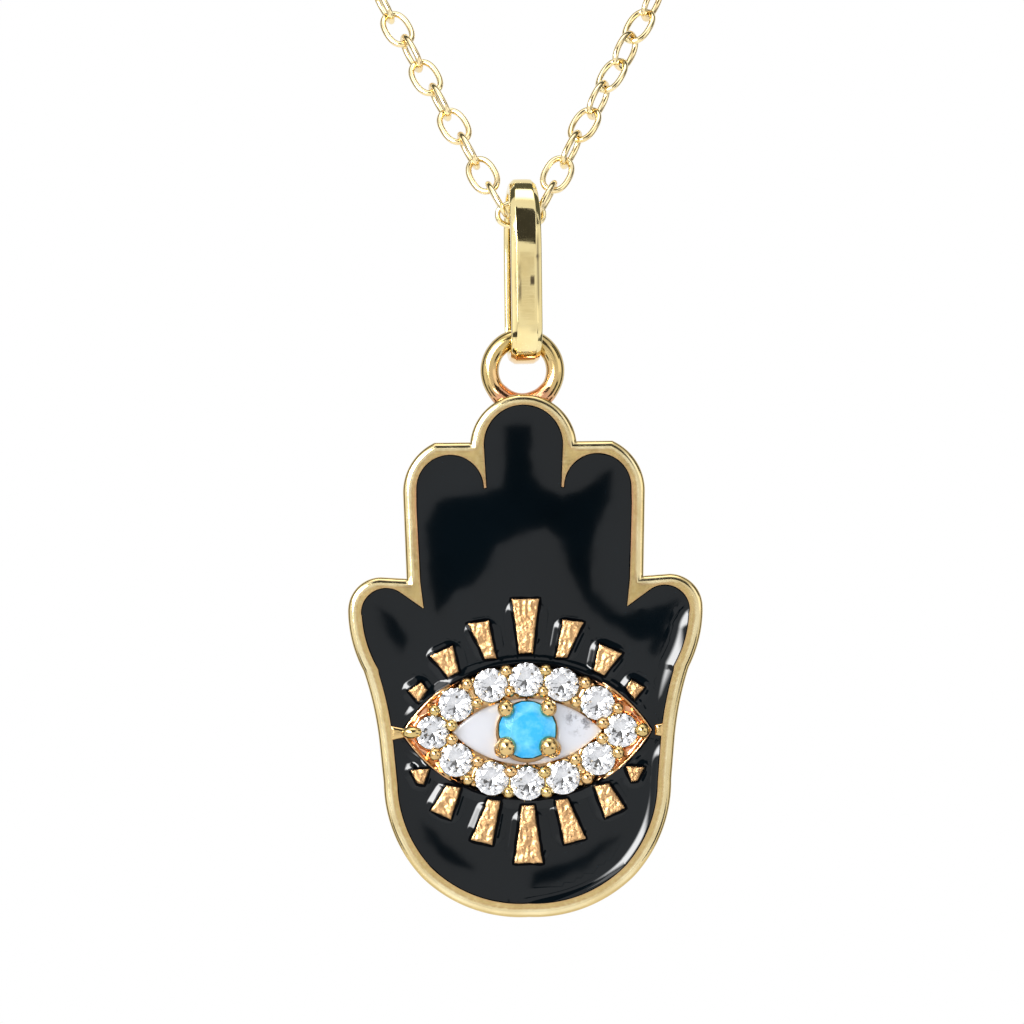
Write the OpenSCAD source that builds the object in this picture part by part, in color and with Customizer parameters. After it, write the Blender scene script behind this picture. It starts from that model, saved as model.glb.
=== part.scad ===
// Hamsa pendant on its chain, in millimetres.
// Z is up, X is to the right as seen from the front, and the front of the hand faces -Y.
// The origin is at the nape, where the inside of the clasp rests on the neck.

/* [Show] */
// which piece to draw

/* [Hand] */
// width of the hand from thumb to thumb
hand_width = 13.65; // [11.5:0.05:16.5]
// thickness of the hand from its back to the top of the rim
hand_thickness = 1.5; // [1.2:0.1:2.5]
// width of the rim
rim_width = 0.52; // [0.4:0.01:0.65]
// thickness of the plate under the enamel
plate_thickness = 0.8; // [0.5:0.05:1.0]
// how far the enamel lies under the top of the rim
enamel_drop = 0.1; // [0.05:0.01:0.2]
// how far the rim's outer shoulder is set in
shoulder_width = 0.14; // [0.05:0.01:0.3]
// how far the rim's outer shoulder lies under its top
shoulder_drop = 0.2; // [0.05:0.05:0.4]

/* [Eye] */
// length of the bar between the rim and the corner of the eye
bar_length = 0.39; // [0.2:0.01:0.8]
// height of the bars
bar_height = 0.52; // [0.3:0.02:0.8]
// half the height of the raised almond
eye_half_height = 2.71; // [2.3:0.01:3.2]
// how far the almond stands over the rim
eye_rise = 0.12; // [0.06:0.02:0.4]
// how far the tops of the lashes lie under the rim
lash_drop = 0.02; // [0.01:0.01:0.2]
// distance from the corner of the eye to the corner of the white field
white_inset_across = 2.0; // [1.6:0.05:2.3]
// distance from the top of the eye to the top of the white field
white_inset_up = 1.51; // [1.2:0.01:1.8]
// depth of the white field
white_depth = 0.4; // [0.2:0.02:0.6]

/* [Stones] */
// distance from the corner of the eye to the middle of the end stone
stone_inset_across = 1.18; // [1.0:0.02:1.5]
// distance from the top of the eye to the middle of the top stone
stone_inset_up = 0.71; // [0.6:0.01:0.9]
// gap between neighbouring clear stones
stone_gap = 0.08; // [0.04:0.01:0.2]
// metal between the middle stone and the stone over it
centre_margin = 0.25; // [0.15:0.01:0.5]
// radius of the beads that hold the clear stones
bead_radius = 0.24; // [0.15:0.01:0.3]
// how far an outer bead stands off the line between two stones
bead_offset_out = 0.46; // [0.36:0.01:0.5]
// how far an inner bead stands off the line between two stones
bead_offset_in = 0.36; // [0.3:0.01:0.45]
// radius of the four claws of the middle stone
claw_radius = 0.32; // [0.2:0.01:0.4]

/* [Ring] */
// thickness of the wire of the soldered ring
ring_wire = 0.71; // [0.5:0.01:0.9]
// radius of the ring's hole
ring_hole_radius = 0.91; // [0.75:0.01:1.2]

/* [Bail] */
// width of the bail across its face
bail_width = 1.19; // [0.9:0.01:1.45]
// height of the bail from its foot to its top
bail_height = 7.14; // [5.5:0.02:9]
// thickness of the bail's front and back
bail_wall = 0.45; // [0.3:0.01:0.6]
// thickness of the bail at its top
bail_top_wall = 0.57; // [0.4:0.01:0.8]
// thickness of the bail at its foot
bail_foot_wall = 0.42; // [0.3:0.01:0.5]
// room in the bail beside the chain
bail_room = 0.4; // [0.32:0.01:0.8]
// turn of the bail about the upright line, in degrees
bail_turn = 6; // [0:1:8]

/* [Chain] */
// radius of the neck that the chain lies round
neck_radius = 56; // [45:1:70]
// slope of the chain's plane over the level, in degrees
chain_rise = 60; // [45:1:72]
// angle of each strand from the upright, seen from the front, in degrees
strand_spread = 29.2; // [24:0.1:38]
// distance from link to link
link_pitch = 1.25; // [1.1:0.01:1.6]
// thickness of a link's wire
link_wire = 0.21; // [0.15:0.01:0.25]
// width of a link over its wire
link_width = 1.15; // [1.0:0.01:1.35]
// clearance between one link's wire and the next one's
link_gap = 0.12; // [0.1:0.01:0.2]
// how many links each strand shows beside the bail before the plain stretch
front_links = 12; // [6:1:16]
// thickness of the plain stretch
back_thickness = 1.1; // [0.8:0.05:1.4]
// length of the clasp
clasp_length = 8; // [6:0.5:12]
// thickness of the clasp
clasp_thickness = 2.4; // [2.0:0.1:3.2]

/* [Hidden] */
$fn = 48;
seat_gap = 0.02;
overlap = 0.05;
far = 40;

gold = [0.93, 0.79, 0.47];
black = [0.05, 0.055, 0.065];
white = [0.93, 0.93, 0.92];
clear = [0.88, 0.9, 0.93];
blue = [0.25, 0.5, 0.9];

// The outline is drawn in hundredths of the hand's width. Its arcs are [across, up, radius].
share = hand_width / 100;
top_finger = share * [0, 80, 15.09];
side_finger = share * [18.72, 67.67, 15.38];
thumb = share * [40.69, 34.63, 9.3];
thumb_side = share * [12.92, 34.65, 37.1];
waist = share * [134.93, -11.66, 93.75];
palm_side = share * [0.97, -14.02, 39.58];
palm_foot = share * [2.04, -12.59, 39.82];
side_finger_top = share * 81.68;
thumb_notch = share * [33.4, 43.44];
thumb_foot = share * 17.66;
waist_foot = share * -4.03;
hand_top = top_finger[1] + top_finger[2];

// The arcs and corners that the enamel follows at the rim's width inside them.
inner_top_finger = share * [0, 80.95, 15.02];
inner_side_finger = share * [20.81, 68.72, 13.36];
inner_thumb = share * [39.27, 33.85, 10.92];
finger_spike = share * [14.43, 72.67];
finger_foot = share * [34.21, 63.74];
thumb_inside = share * [33.41, 42.71];
thumb_spike = share * [32.53, 39.97];

// How far across a circle beside the hand comes at a given height.
function circle_edge(row, radius, up) = row[0] - sqrt(radius * radius - (up - row[1]) * (up - row[1]));

inner_waist = circle_edge(waist, waist[2] + rim_width, 0);
eye_half_width = inner_waist - bar_length;
eye_height = hand_thickness + eye_rise;
lash_height = hand_thickness - lash_drop;
enamel_top = hand_thickness - enamel_drop;
white_half_width = eye_half_width - white_inset_across;
white_half_height = eye_half_height - white_inset_up;
white_drop = 0.06;
field_floor = eye_height - white_depth;

// Middle of each clear stone as shares of the ring of stones, clockwise from the top: [across, up].
stone_shares = [[0, 1], [0.377, 0.895], [0.754, 0.53], [1, 0], [0.754, -0.53], [0.377, -0.895],
                [0, -1], [-0.377, -0.895], [-0.754, -0.53], [-1, 0], [-0.754, 0.53], [-0.377, 0.895]];
stone_half_width = eye_half_width - stone_inset_across;
stone_half_height = eye_half_height - stone_inset_up;
stone_places = [for (row = stone_shares) [row[0] * stone_half_width, row[1] * stone_half_height]];
stone_spacing = min([for (i = [0:11]) norm(stone_places[(i + 1) % 12] - stone_places[i])]);
stone_radius = (stone_spacing - stone_gap) / 2;
stone_girdle_height = eye_height + 0.02;
centre_radius = stone_half_height - stone_radius - centre_margin;
centre_girdle_height = eye_height + 0.1;
setting_radius = centre_radius + 0.14;
claw_line = centre_radius + 0.12;
claw_height = eye_height + 0.3;
claw_foot_radius = claw_radius * 0.8;

// Corners of each raised lash on the right as shares of the almond's half width and half height:
// [across, up] four times in clockwise order, from the top lash down.
lash_shares = [[[0.248, 1.07], [0.3, 1.55], [0.448, 1.51], [0.329, 1.07]],
               [[0.546, 0.87], [0.59, 1.21], [0.754, 1.08], [0.625, 0.8]],
               [[0.808, 0.6], [0.846, 0.69], [0.929, 0.6], [0.862, 0.46]],
               [[0.798, -0.53], [0.921, -0.55], [0.875, -0.7], [0.837, -0.71]],
               [[0.542, -0.8], [0.65, -0.77], [0.765, -1.09], [0.621, -1.21]],
               [[0.229, -1.01], [0.321, -0.99], [0.444, -1.5], [0.292, -1.57]]];
top_lash_shares = [[-0.052, 1.13], [-0.104, 1.86], [0.104, 1.86], [0.052, 1.13]];
foot_lash_shares = [[0.048, -1.07], [0.108, -1.85], [-0.108, -1.85], [-0.048, -1.07]];

// Heights over the middle of the eye, each worked out from the piece under it.
ring_depth = hand_thickness / 2 - 0.1;
ring_line = ring_hole_radius + ring_wire / 2;
ring_centre_height = hand_top + ring_hole_radius + 0.01;
bail_half = bail_width / 2;
bail_hole_foot = ring_centre_height + sqrt(pow(ring_hole_radius - seat_gap, 2) - bail_half * bail_half);
bail_foot = bail_hole_foot - bail_foot_wall;
bail_top = bail_foot + bail_height;
bail_hole_top = bail_top - bail_top_wall;

// The plane of the chain, and the way each strand runs in it.
plane_half_angle = atan(tan(strand_spread) * sin(chain_rise));
strand_tilt = asin(cos(plane_half_angle) * cos(chain_rise));
strand_x = sin(plane_half_angle);
strand_y = cos(plane_half_angle) * cos(chain_rise);
strand_z = cos(plane_half_angle) * sin(chain_rise);
nape_line = clasp_thickness / 2;
neck_centre = nape_line - neck_radius;
apex_line = neck_centre - neck_radius / sin(plane_half_angle);
apex_y = apex_line * cos(chain_rise);
apex_z = apex_line * sin(chain_rise);

// How a link hooks into the next one, and the first links into the middle link.
link_side = (link_width - link_wire) / 2;
link_reach = (link_wire + link_gap) / 2;
link_half = link_pitch / 2 + link_reach - link_side;
middle_half = bail_half - 0.175;
hook_turn = 25;
hook_line = link_side - link_wire - link_gap;
first_joint_x = middle_half + hook_line * cos(hook_turn) + link_reach * strand_x;
middle_drop = link_reach * strand_z - hook_line * sin(hook_turn);
joint_y = apex_y + first_joint_x * strand_y / strand_x;
joint_z = apex_z + first_joint_x * strand_z / strand_x;

// The bail hangs round the middle link, a little behind it.
middle_shift = 0.15;
bail_play = 0.2;
bail_hole = link_width / 2 + middle_shift + bail_room;
bail_end = bail_hole + bail_wall;
hang_y = joint_y + middle_shift;
eye_z = joint_z - middle_drop + link_width / 2 + bail_play - bail_hole_top;

// The disc of one row of the outline, smaller by s.
module disc(row, s) {
    translate([row[0], row[1]]) circle(r = row[2] - s, $fn = 96);
}

// The right half of the hand's outline, set in by s.
module outer_half(s) {
    disc(top_finger, s);
    intersection() {
        disc(side_finger, s);
        square([far, side_finger_top - s]);
    }
    polygon([[-overlap, palm_side[1]],
             [-overlap, side_finger_top - s],
             [side_finger[0], side_finger_top - s],
             [side_finger[0] + side_finger[2] - s, side_finger[1]],
             [thumb_notch[0] - s, thumb_notch[1] - s],
             [thumb[0], thumb[1] + thumb[2] - s],
             [thumb[0] + thumb[2] - s, thumb[1]],
             [share * 39.6, share * 18.3],
             [share * 36.6, palm_side[1]]]);
    disc(thumb, s);
    intersection() {
        disc(thumb_side, s);
        translate([-overlap, thumb_foot - overlap]) square([share * 60, thumb[1] - thumb_foot + overlap]);
    }
    difference() {
        polygon([[-overlap, thumb_foot],
                 [share * 47, thumb_foot],
                 [share * 47, waist_foot],
                 [circle_edge(waist, waist[2], waist_foot) - s, waist_foot],
                 [palm_side[0] + palm_side[2] - s, palm_side[1]],
                 [-overlap, palm_side[1]]]);
        disc(waist, -s);
    }
    intersection() {
        disc(palm_foot, s);
        disc(palm_side, s);
        translate([-overlap, palm_side[1] + overlap - far]) square([far, far]);
    }
}

// Points along the arc of one row, smaller by s, from one angle to another.
function arc(row, s, from, to, steps) = [for (i = [0:steps]) let (turn = from + (to - from) * i / steps)
    [row[0] + (row[2] - s) * cos(turn), row[1] + (row[2] - s) * sin(turn)]];

// The right half of the enamel's outline from the top down, set in by s.
function inner_right(s) = concat(
    arc(inner_top_finger, s, 90, 0, 16),
    [[finger_spike[0] - s, finger_spike[1] - s]],
    arc(inner_side_finger, s, 180, 0, 32),
    [[finger_foot[0] - s, finger_foot[1]],
     [thumb_inside[0] - s, thumb_inside[1]],
     [thumb_spike[0] - s, thumb_spike[1] - 1.3 * s]],
    arc(inner_thumb, s, 125.7, 0, 20),
    arc(thumb_side, s, -3, -30, 8),
    arc(waist, -s, 163.2, 175.6, 8),
    arc(palm_side, s, -1, -40.9, 10),
    arc(palm_foot, s, -44, -93.2, 14));

function mirrored(points) = [for (i = [len(points) - 1:-1:0]) [-points[i][0], points[i][1]]];

module hand_outline(s = 0) {
    outer_half(s);
    mirror([1, 0]) outer_half(s);
}

module enamel_outline(s = 0) {
    right = inner_right(rim_width + s);
    polygon(concat(right, mirrored(right)));
}

// An almond with pointed ends, wider by s on every side.
module almond(half_width, half_height, s = 0) {
    arc_radius = (half_width * half_width + half_height * half_height) / (2 * half_height);
    intersection() {
        translate([0, half_height - arc_radius]) circle(r = arc_radius + s, $fn = 96);
        translate([0, arc_radius - half_height]) circle(r = arc_radius + s, $fn = 96);
    }
}

function unit(way) = way / norm(way);

// Four corners in clockwise order, with every edge moved out by s.
function grown(corners, s) = [for (i = [0:3]) let (
    before = unit(corners[i] - corners[(i + 3) % 4]),
    after = unit(corners[(i + 1) % 4] - corners[i])
) corners[i] + s * [-before[1] - after[1], before[0] + after[0]] / (1 + before * after)];

// One lash, wider by s on every side.
module lash_outline(rows, s) {
    polygon(grown([for (row = rows) [row[0] * eye_half_width, row[1] * eye_half_height]], s));
}

// All the lashes, wider by s.
module lash_outlines(s = 0) {
    lash_outline(top_lash_shares, s);
    lash_outline(foot_lash_shares, s);
    for (rows = lash_shares) {
        lash_outline(rows, s);
        mirror([1, 0]) lash_outline(rows, s);
    }
}

// The bars that join the rim to the corners of the eye, wider by s.
module bars_outline(s = 0) {
    inner_end = eye_half_width - 0.3;
    outer_end = inner_waist + rim_width / 2;
    for (side = [0, 1]) {
        mirror([side, 0]) translate([inner_end, -bar_height / 2 - s]) {
            square([outer_end - inner_end, bar_height + 2 * s]);
        }
    }
}

// The ring soldered to the top of the hand, with a leg of solder on each side.
module soldered_ring() {
    leg_radius = ring_wire / 2 - 0.03;
    leg_turn = 23;
    leg_lean = 6;
    translate([0, ring_centre_height, ring_depth]) {
        rotate_extrude() translate([ring_line, 0]) circle(d = ring_wire);
        for (side = [-1, 1]) {
            translate([side * ring_line * cos(leg_turn), -ring_line * sin(leg_turn), 0]) {
                rotate([0, 0, -side * leg_lean]) rotate([90, 0, 0]) cylinder(r = leg_radius, h = 1);
            }
        }
    }
}

// The space that a cut stone takes, with its gap, for cutting a seat.
module stone_space(radius) {
    rotate_extrude() {
        polygon([[0, -0.88 * radius - seat_gap],
                 [radius + seat_gap, -0.03 * radius],
                 [radius + seat_gap, 0.06 * radius],
                 [0.6 * radius + seat_gap, 0.36 * radius + seat_gap],
                 [0, 0.36 * radius + seat_gap]]);
    }
}

// A cut stone with its table up and its girdle at height 0.
module cut_stone(radius) {
    hull() {
        translate([0, 0, 0.3 * radius]) cylinder(r = 0.57 * radius, h = 0.02 * radius, $fn = 8);
        rotate(22.5) translate([0, 0, 0.2 * radius]) cylinder(r = 0.8 * radius, h = 0.005 * radius, $fn = 8);
        rotate(11.25) translate([0, 0, -0.03 * radius]) cylinder(r = 0.985 * radius, h = 0.06 * radius, $fn = 16);
        rotate(22.5) translate([0, 0, -0.84 * radius]) cylinder(r = 0.03 * radius, h = 0.01 * radius, $fn = 8);
    }
}

// The place of the bead beside the gap after stone i: offset is outward if it is over 0.
function bead_place(i, offset) = let (
    first = stone_places[i],
    second = stone_places[(i + 1) % 12],
    along = unit(second - first)
) (first + second) / 2 + offset * [-along[1], along[0]];

// A bead on a short post that starts at the height given.
module bead(place, radius, foot) {
    middle = eye_height + 0.12;
    translate([place[0], place[1], foot]) cylinder(r = radius * 0.85, h = middle - foot);
    translate([place[0], place[1], middle]) sphere(r = radius);
}

module beads() {
    for (i = [0:11]) {
        bead(bead_place(i, bead_offset_out), bead_radius, enamel_top + seat_gap);
        bead(bead_place(i, -bead_offset_in), bead_radius, field_floor - overlap);
    }
    for (side = [-1, 1]) {
        bead([side * (eye_half_width - 0.38), 0], 0.3, enamel_top + seat_gap);
    }
}

// The collar and four claws of the middle stone.
module centre_setting() {
    translate([0, 0, plate_thickness / 2]) cylinder(r = setting_radius, h = eye_height - plate_thickness / 2);
    claw_foot = field_floor - overlap;
    for (turn = [45:90:315]) {
        rotate(turn) translate([claw_line, 0, claw_foot]) {
            cylinder(r = claw_foot_radius, h = claw_height - claw_foot);
            translate([0, 0, claw_height - claw_foot]) sphere(r = claw_radius);
        }
    }
}

// The plate with its rim, ring, bars, lashes and almond, before anything is set in it.
module plate_and_rim() {
    difference() {
        union() {
            linear_extrude(height = hand_thickness - shoulder_drop) hand_outline();
            linear_extrude(height = hand_thickness) hand_outline(shoulder_width);
            soldered_ring();
        }
        translate([0, 0, plate_thickness]) linear_extrude(height = far) enamel_outline();
    }
    root = plate_thickness - overlap;
    translate([0, 0, root]) {
        linear_extrude(height = lash_height - root) lash_outlines();
        linear_extrude(height = hand_thickness - root) bars_outline();
        linear_extrude(height = eye_height - root) almond(eye_half_width, eye_half_height);
    }
}

// The hand lying on its back, with the middle of the eye at 0, 0.
module hand_flat() {
    difference() {
        union() {
            difference() {
                plate_and_rim();
                translate([0, 0, field_floor]) {
                    linear_extrude(height = far) almond(white_half_width, white_half_height);
                }
            }
            beads();
            centre_setting();
        }
        for (place = stone_places) {
            translate([place[0], place[1], stone_girdle_height]) stone_space(stone_radius);
        }
        translate([0, 0, centre_girdle_height]) stone_space(centre_radius);
    }
}

// Stands what lies flat upright under the chain, with its front to -Y.
module hang() {
    translate([0, hang_y + ring_depth, eye_z]) rotate([90, 0, 0]) children();
}

module hand() {
    color(gold) hang() hand_flat();
}

// The black enamel on one side of the bars: 1 is above them and -1 below.
module black_enamel(side) {
    foot = plate_thickness + seat_gap;
    color(black) hang() translate([0, 0, foot]) linear_extrude(height = enamel_top - foot) {
        intersection() {
            difference() {
                enamel_outline(seat_gap);
                almond(eye_half_width, eye_half_height, seat_gap);
                lash_outlines(seat_gap);
                bars_outline(seat_gap);
            }
            translate([-far / 2, side > 0 ? 0 : -far]) square([far, far]);
        }
    }
}

module enamel_upper() {
    black_enamel(1);
}

module enamel_lower() {
    black_enamel(-1);
}

// The white enamel beside the middle stone: -1 is the left field and 1 the right.
module white_enamel(side) {
    foot = field_floor + seat_gap;
    inner_edge = centre_radius - 0.1;
    color(white) hang() translate([0, 0, foot]) linear_extrude(height = eye_height - white_drop - foot) {
        intersection() {
            difference() {
                almond(white_half_width, white_half_height, -seat_gap);
                circle(r = setting_radius + seat_gap);
                for (turn = [45:90:315]) {
                    rotate(turn) translate([claw_line, 0]) circle(r = claw_foot_radius + seat_gap);
                }
                for (i = [0:11]) {
                    translate(bead_place(i, -bead_offset_in)) circle(r = bead_radius + seat_gap);
                }
            }
            translate([side > 0 ? inner_edge : -far - inner_edge, -far / 2]) square([far, far]);
        }
    }
}

module enamel_white_left() {
    white_enamel(-1);
}

module enamel_white_right() {
    white_enamel(1);
}

// One of the twelve clear stones, counted from the top and clockwise.
module clear_stone(number) {
    place = stone_places[number - 1];
    color(clear) hang() translate([place[0], place[1], stone_girdle_height]) rotate(30 * number) {
        cut_stone(stone_radius);
    }
}

module stone_01() { clear_stone(1); }
module stone_02() { clear_stone(2); }
module stone_03() { clear_stone(3); }
module stone_04() { clear_stone(4); }
module stone_05() { clear_stone(5); }
module stone_06() { clear_stone(6); }
module stone_07() { clear_stone(7); }
module stone_08() { clear_stone(8); }
module stone_09() { clear_stone(9); }
module stone_10() { clear_stone(10); }
module stone_11() { clear_stone(11); }
module stone_12() { clear_stone(12); }

module centre_stone() {
    color(blue) hang() translate([0, 0, centre_girdle_height]) cut_stone(centre_radius);
}

// The bail: a long upright loop with a flat face and bevelled edges.
module bail() {
    face = bail_half - 0.2;
    bevel = 0.14;
    top_centre = bail_top - bail_end;
    foot_centre = bail_foot + bail_end;
    hole_top_centre = bail_hole_top - bail_hole;
    hole_foot_centre = bail_hole_foot + bail_hole;
    color(gold) translate([0, hang_y, eye_z]) rotate([0, 0, bail_turn]) difference() {
        union() {
            translate([0, 0, top_centre]) bail_cap(face, bevel);
            translate([0, 0, foot_centre]) mirror([0, 0, 1]) bail_cap(face, bevel);
            translate([0, 0, foot_centre]) linear_extrude(height = top_centre - foot_centre) {
                polygon([[-bail_half, -bail_end + bevel], [-face, -bail_end],
                         [face, -bail_end], [bail_half, -bail_end + bevel],
                         [bail_half, bail_end - bevel], [face, bail_end],
                         [-face, bail_end], [-bail_half, bail_end - bevel]]);
            }
        }
        translate([-bail_width, 0, 0]) rotate([90, 0, 90]) linear_extrude(height = 2 * bail_width) {
            translate([0, hole_top_centre]) circle(r = bail_hole);
            translate([0, hole_foot_centre]) circle(r = bail_hole);
            translate([-bail_hole, hole_foot_centre]) square([2 * bail_hole, hole_top_centre - hole_foot_centre]);
        }
    }
}

// The round end of the bail, a half disc with bevelled edges, flat side down.
module bail_cap(face, bevel) {
    rotate([90, 0, 90]) rotate_extrude(angle = 180) {
        polygon([[0, -bail_half], [bail_end - bevel, -bail_half], [bail_end, -face],
                 [bail_end, face], [bail_end - bevel, bail_half], [0, bail_half]]);
    }
}

// A link standing on its end in the plane of X and Z, with straight sides of twice the half length given.
module link(half) {
    for (end = [0, 180]) {
        rotate([0, end, 0]) translate([0, 0, half]) rotate([90, 0, 0]) rotate_extrude(angle = 180, $fn = 32) {
            translate([link_side, 0]) circle(d = link_wire, $fn = 16);
        }
    }
    for (side = [-1, 1]) {
        translate([side * link_side, 0, -half]) cylinder(d = link_wire, h = 2 * half, $fn = 16);
    }
}

// The links of the strand on one side: 1 is right and -1 left.
module strand(side) {
    for (k = [1:front_links]) {
        along = (k - 0.5) * link_pitch;
        translate([side * (first_joint_x + along * strand_x), joint_y + along * strand_y, joint_z + along * strand_z]) {
            rotate([0, side * strand_spread, 0]) rotate([-strand_tilt, 0, 0]) rotate(k % 2 == 1 ? 90 : 0) link(link_half);
        }
    }
}

module chain_front() {
    color(gold) {
        translate([0, joint_y, joint_z - middle_drop]) rotate([0, 90, 0]) link(middle_half);
        strand(1);
        strand(-1);
    }
}

// The plain stretch of chain follows a route in the plane of the chain: [across, along].
back_sides = 8;
arc_rings = 31;
straight_rings = 5;
loose_gap = 0.1;
clasp_entry = 0.3;
strand_length = neck_radius / tan(plane_half_angle);
last_link_end = first_joint_x / strand_x + front_links * link_pitch + link_reach + link_wire / 2;
front_end = last_link_end + loose_gap;
arc_turn = 90 + plane_half_angle - asin((clasp_length / 2 - clasp_entry) / neck_radius);

function strand_point(along) = [along * sin(plane_half_angle), apex_line + along * cos(plane_half_angle)];
function arc_point(turn) = [neck_radius * cos(turn - plane_half_angle),
                            neck_centre + neck_radius * sin(turn - plane_half_angle)];
function route() = concat(
    [for (i = [0:straight_rings - 1]) strand_point(front_end + i / straight_rings * (strand_length - front_end))],
    [for (i = [0:arc_rings]) arc_point(i / arc_rings * arc_turn)]);

// The heading at each route point, from its neighbours.
function heading(points, i) = let (
    before = points[max(i - 1, 0)],
    after = points[min(i + 1, len(points) - 1)],
    way = after - before
) unit(way);

// The ring of corners round one route point.
function ring_corners(points, i, side) = let (
    way = heading(points, i),
    out = [way[1], -way[0]]
) [for (j = [0:back_sides - 1]) let (
        turn = 360 / back_sides * (j + 0.5),
        reach = back_thickness / 2 * cos(turn),
        rise = back_thickness / 2 * sin(turn)
    ) [side * (points[i][0] + reach * out[0]), points[i][1] + reach * out[1], rise]];

module back_tube(side) {
    points = route();
    last = len(points) - 1;
    corners = [for (i = [0:last]) each ring_corners(points, i, side)];
    walls = [for (i = [0:last - 1]) for (j = [0:back_sides - 1]) let (
        a = i * back_sides + j,
        b = i * back_sides + (j + 1) % back_sides,
        c = b + back_sides,
        d = a + back_sides
    ) side > 0 ? [a, b, c, d] : [d, c, b, a]];
    near_cap = [for (j = [0:back_sides - 1]) side > 0 ? back_sides - 1 - j : j];
    far_cap = [for (j = [0:back_sides - 1]) last * back_sides + (side > 0 ? j : back_sides - 1 - j)];
    rotate([chain_rise, 0, 0]) polyhedron(points = corners, faces = concat(walls, [near_cap, far_cap]), convexity = 10);
}

module chain_back() {
    color(gold) {
        back_tube(1);
        back_tube(-1);
    }
}

// The clasp: a plain barrel with tapered ends, hollowed where the chain ends enter.
module clasp() {
    hole = back_thickness + 0.3;
    end_thickness = hole + 0.3;
    taper = 1;
    half = clasp_length / 2;
    color(gold) rotate([chain_rise, 0, 0]) translate([0, nape_line, 0]) rotate([0, 90, 0]) difference() {
        rotate_extrude() {
            polygon([[0, -half], [end_thickness / 2, -half], [clasp_thickness / 2, -half + taper],
                     [clasp_thickness / 2, half - taper], [end_thickness / 2, half], [0, half]]);
        }
        for (end = [-1, 1]) {
            translate([0, 0, end * half]) cylinder(d = hole, h = 4 * clasp_entry, center = true);
        }
    }
}

hand();
enamel_upper();
enamel_lower();
enamel_white_left();
enamel_white_right();
stone_01();
stone_02();
stone_03();
stone_04();
stone_05();
stone_06();
stone_07();
stone_08();
stone_09();
stone_10();
stone_11();
stone_12();
centre_stone();
bail();
chain_front();
chain_back();
clasp();
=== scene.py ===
"""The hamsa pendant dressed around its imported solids: metal, enamel, stones and chain, in metres."""

import random
from math import asin, atan, ceil, copysign, cos, degrees, dist, exp, pi, radians, sin, sqrt, tan

import bpy
import numpy as np
from mathutils import Matrix, Vector, noise
from mathutils.geometry import delaunay_2d_cdt


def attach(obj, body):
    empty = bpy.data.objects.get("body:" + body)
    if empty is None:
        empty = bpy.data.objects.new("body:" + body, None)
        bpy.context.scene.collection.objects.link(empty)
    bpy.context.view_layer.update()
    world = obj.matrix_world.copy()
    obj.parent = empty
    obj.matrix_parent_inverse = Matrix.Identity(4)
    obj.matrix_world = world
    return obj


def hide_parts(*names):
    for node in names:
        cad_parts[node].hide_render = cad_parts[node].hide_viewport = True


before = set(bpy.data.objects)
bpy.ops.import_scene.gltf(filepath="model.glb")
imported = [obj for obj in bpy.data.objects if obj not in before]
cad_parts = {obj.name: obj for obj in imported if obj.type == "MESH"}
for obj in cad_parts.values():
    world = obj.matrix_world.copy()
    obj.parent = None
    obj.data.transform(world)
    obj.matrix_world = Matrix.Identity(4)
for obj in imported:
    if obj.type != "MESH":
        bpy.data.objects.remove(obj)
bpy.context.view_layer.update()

MM = 0.001

# Sizes in millimetres and angles in degrees, the same as the solids' own. A wire's size is its radius.
HAND_WIDTH = 13.65
RIM_WIDTH = 0.52
PLATE_TOP = 0.8
RIM_TOP = 1.5
RIM_SIDE = 1.3
ENAMEL_TOP = 1.4
EYE_TOP = 1.62
EYE_HALF_HEIGHT = 2.71
BAR_LENGTH = 0.39
BAR_HEIGHT = 0.52
LASH_TOP = 1.48
FIELD_FLOOR = 1.22
WHITE_TOP = 1.56
GIRDLE_HEIGHT = 1.64
CENTRE_GIRDLE_HEIGHT = 1.72
STONE_GAP = 0.08
CENTRE_MARGIN = 0.25
BEAD_RADIUS = 0.24
BEAD_OFFSET_OUT = 0.46
BEAD_OFFSET_IN = 0.36
SEAT_GAP = 0.02
RING_DEPTH = 0.65
RING_WIRE = 0.355
RING_LINE = 1.265
RING_HEIGHT = 13.9
BAIL_HALF = 0.595
BAIL_HEIGHT = 7.14
BAIL_WALL = 0.45
BAIL_TOP_WALL = 0.57
BAIL_FOOT_WALL = 0.42
BAIL_TURN = 6
HANG_Y = -90.8813
EYE_Z = -177.677
JOINT_X = 0.6188
JOINT_Y = -91.031
JOINT_Z = -157.670
STRAND_SPREAD = 29.2
CHAIN_RISE = 60
NECK_RADIUS = 56.0
CLASP_HALF = 4.0
CLASP_RADIUS = 1.2
LINK_PITCH = 1.25
LINK_SIDE = 0.47
LINK_WIRE = 0.105
FRONT_LINKS = 12

# What only the photo's finer look needs
SHOULDER = 0.24
CENTRE_SHIFT = np.array([0.02, 0.07])
BAIL_SHIFT = 0.06
OVAL_LINK = (0.475, 0.745, 0.12)

SHARE = HAND_WIDTH / 100


def row(across, up, radius):
    return SHARE * across, SHARE * up, SHARE * radius


TOP_FINGER = row(0, 80, 15.09)
SIDE_FINGER = row(18.72, 67.67, 15.38)
THUMB = row(40.69, 34.63, 9.3)
THUMB_SIDE = row(12.92, 34.65, 37.1)
WAIST = row(134.93, -11.66, 93.75)
PALM_SIDE = row(0.97, -14.02, 39.58)
PALM_FOOT = row(2.04, -12.59, 39.82)
INNER_TOP_FINGER = row(0, 80.95, 15.02)
INNER_SIDE_FINGER = row(20.81, 68.72, 13.36)
INNER_THUMB = row(39.27, 33.85, 10.92)

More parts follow.
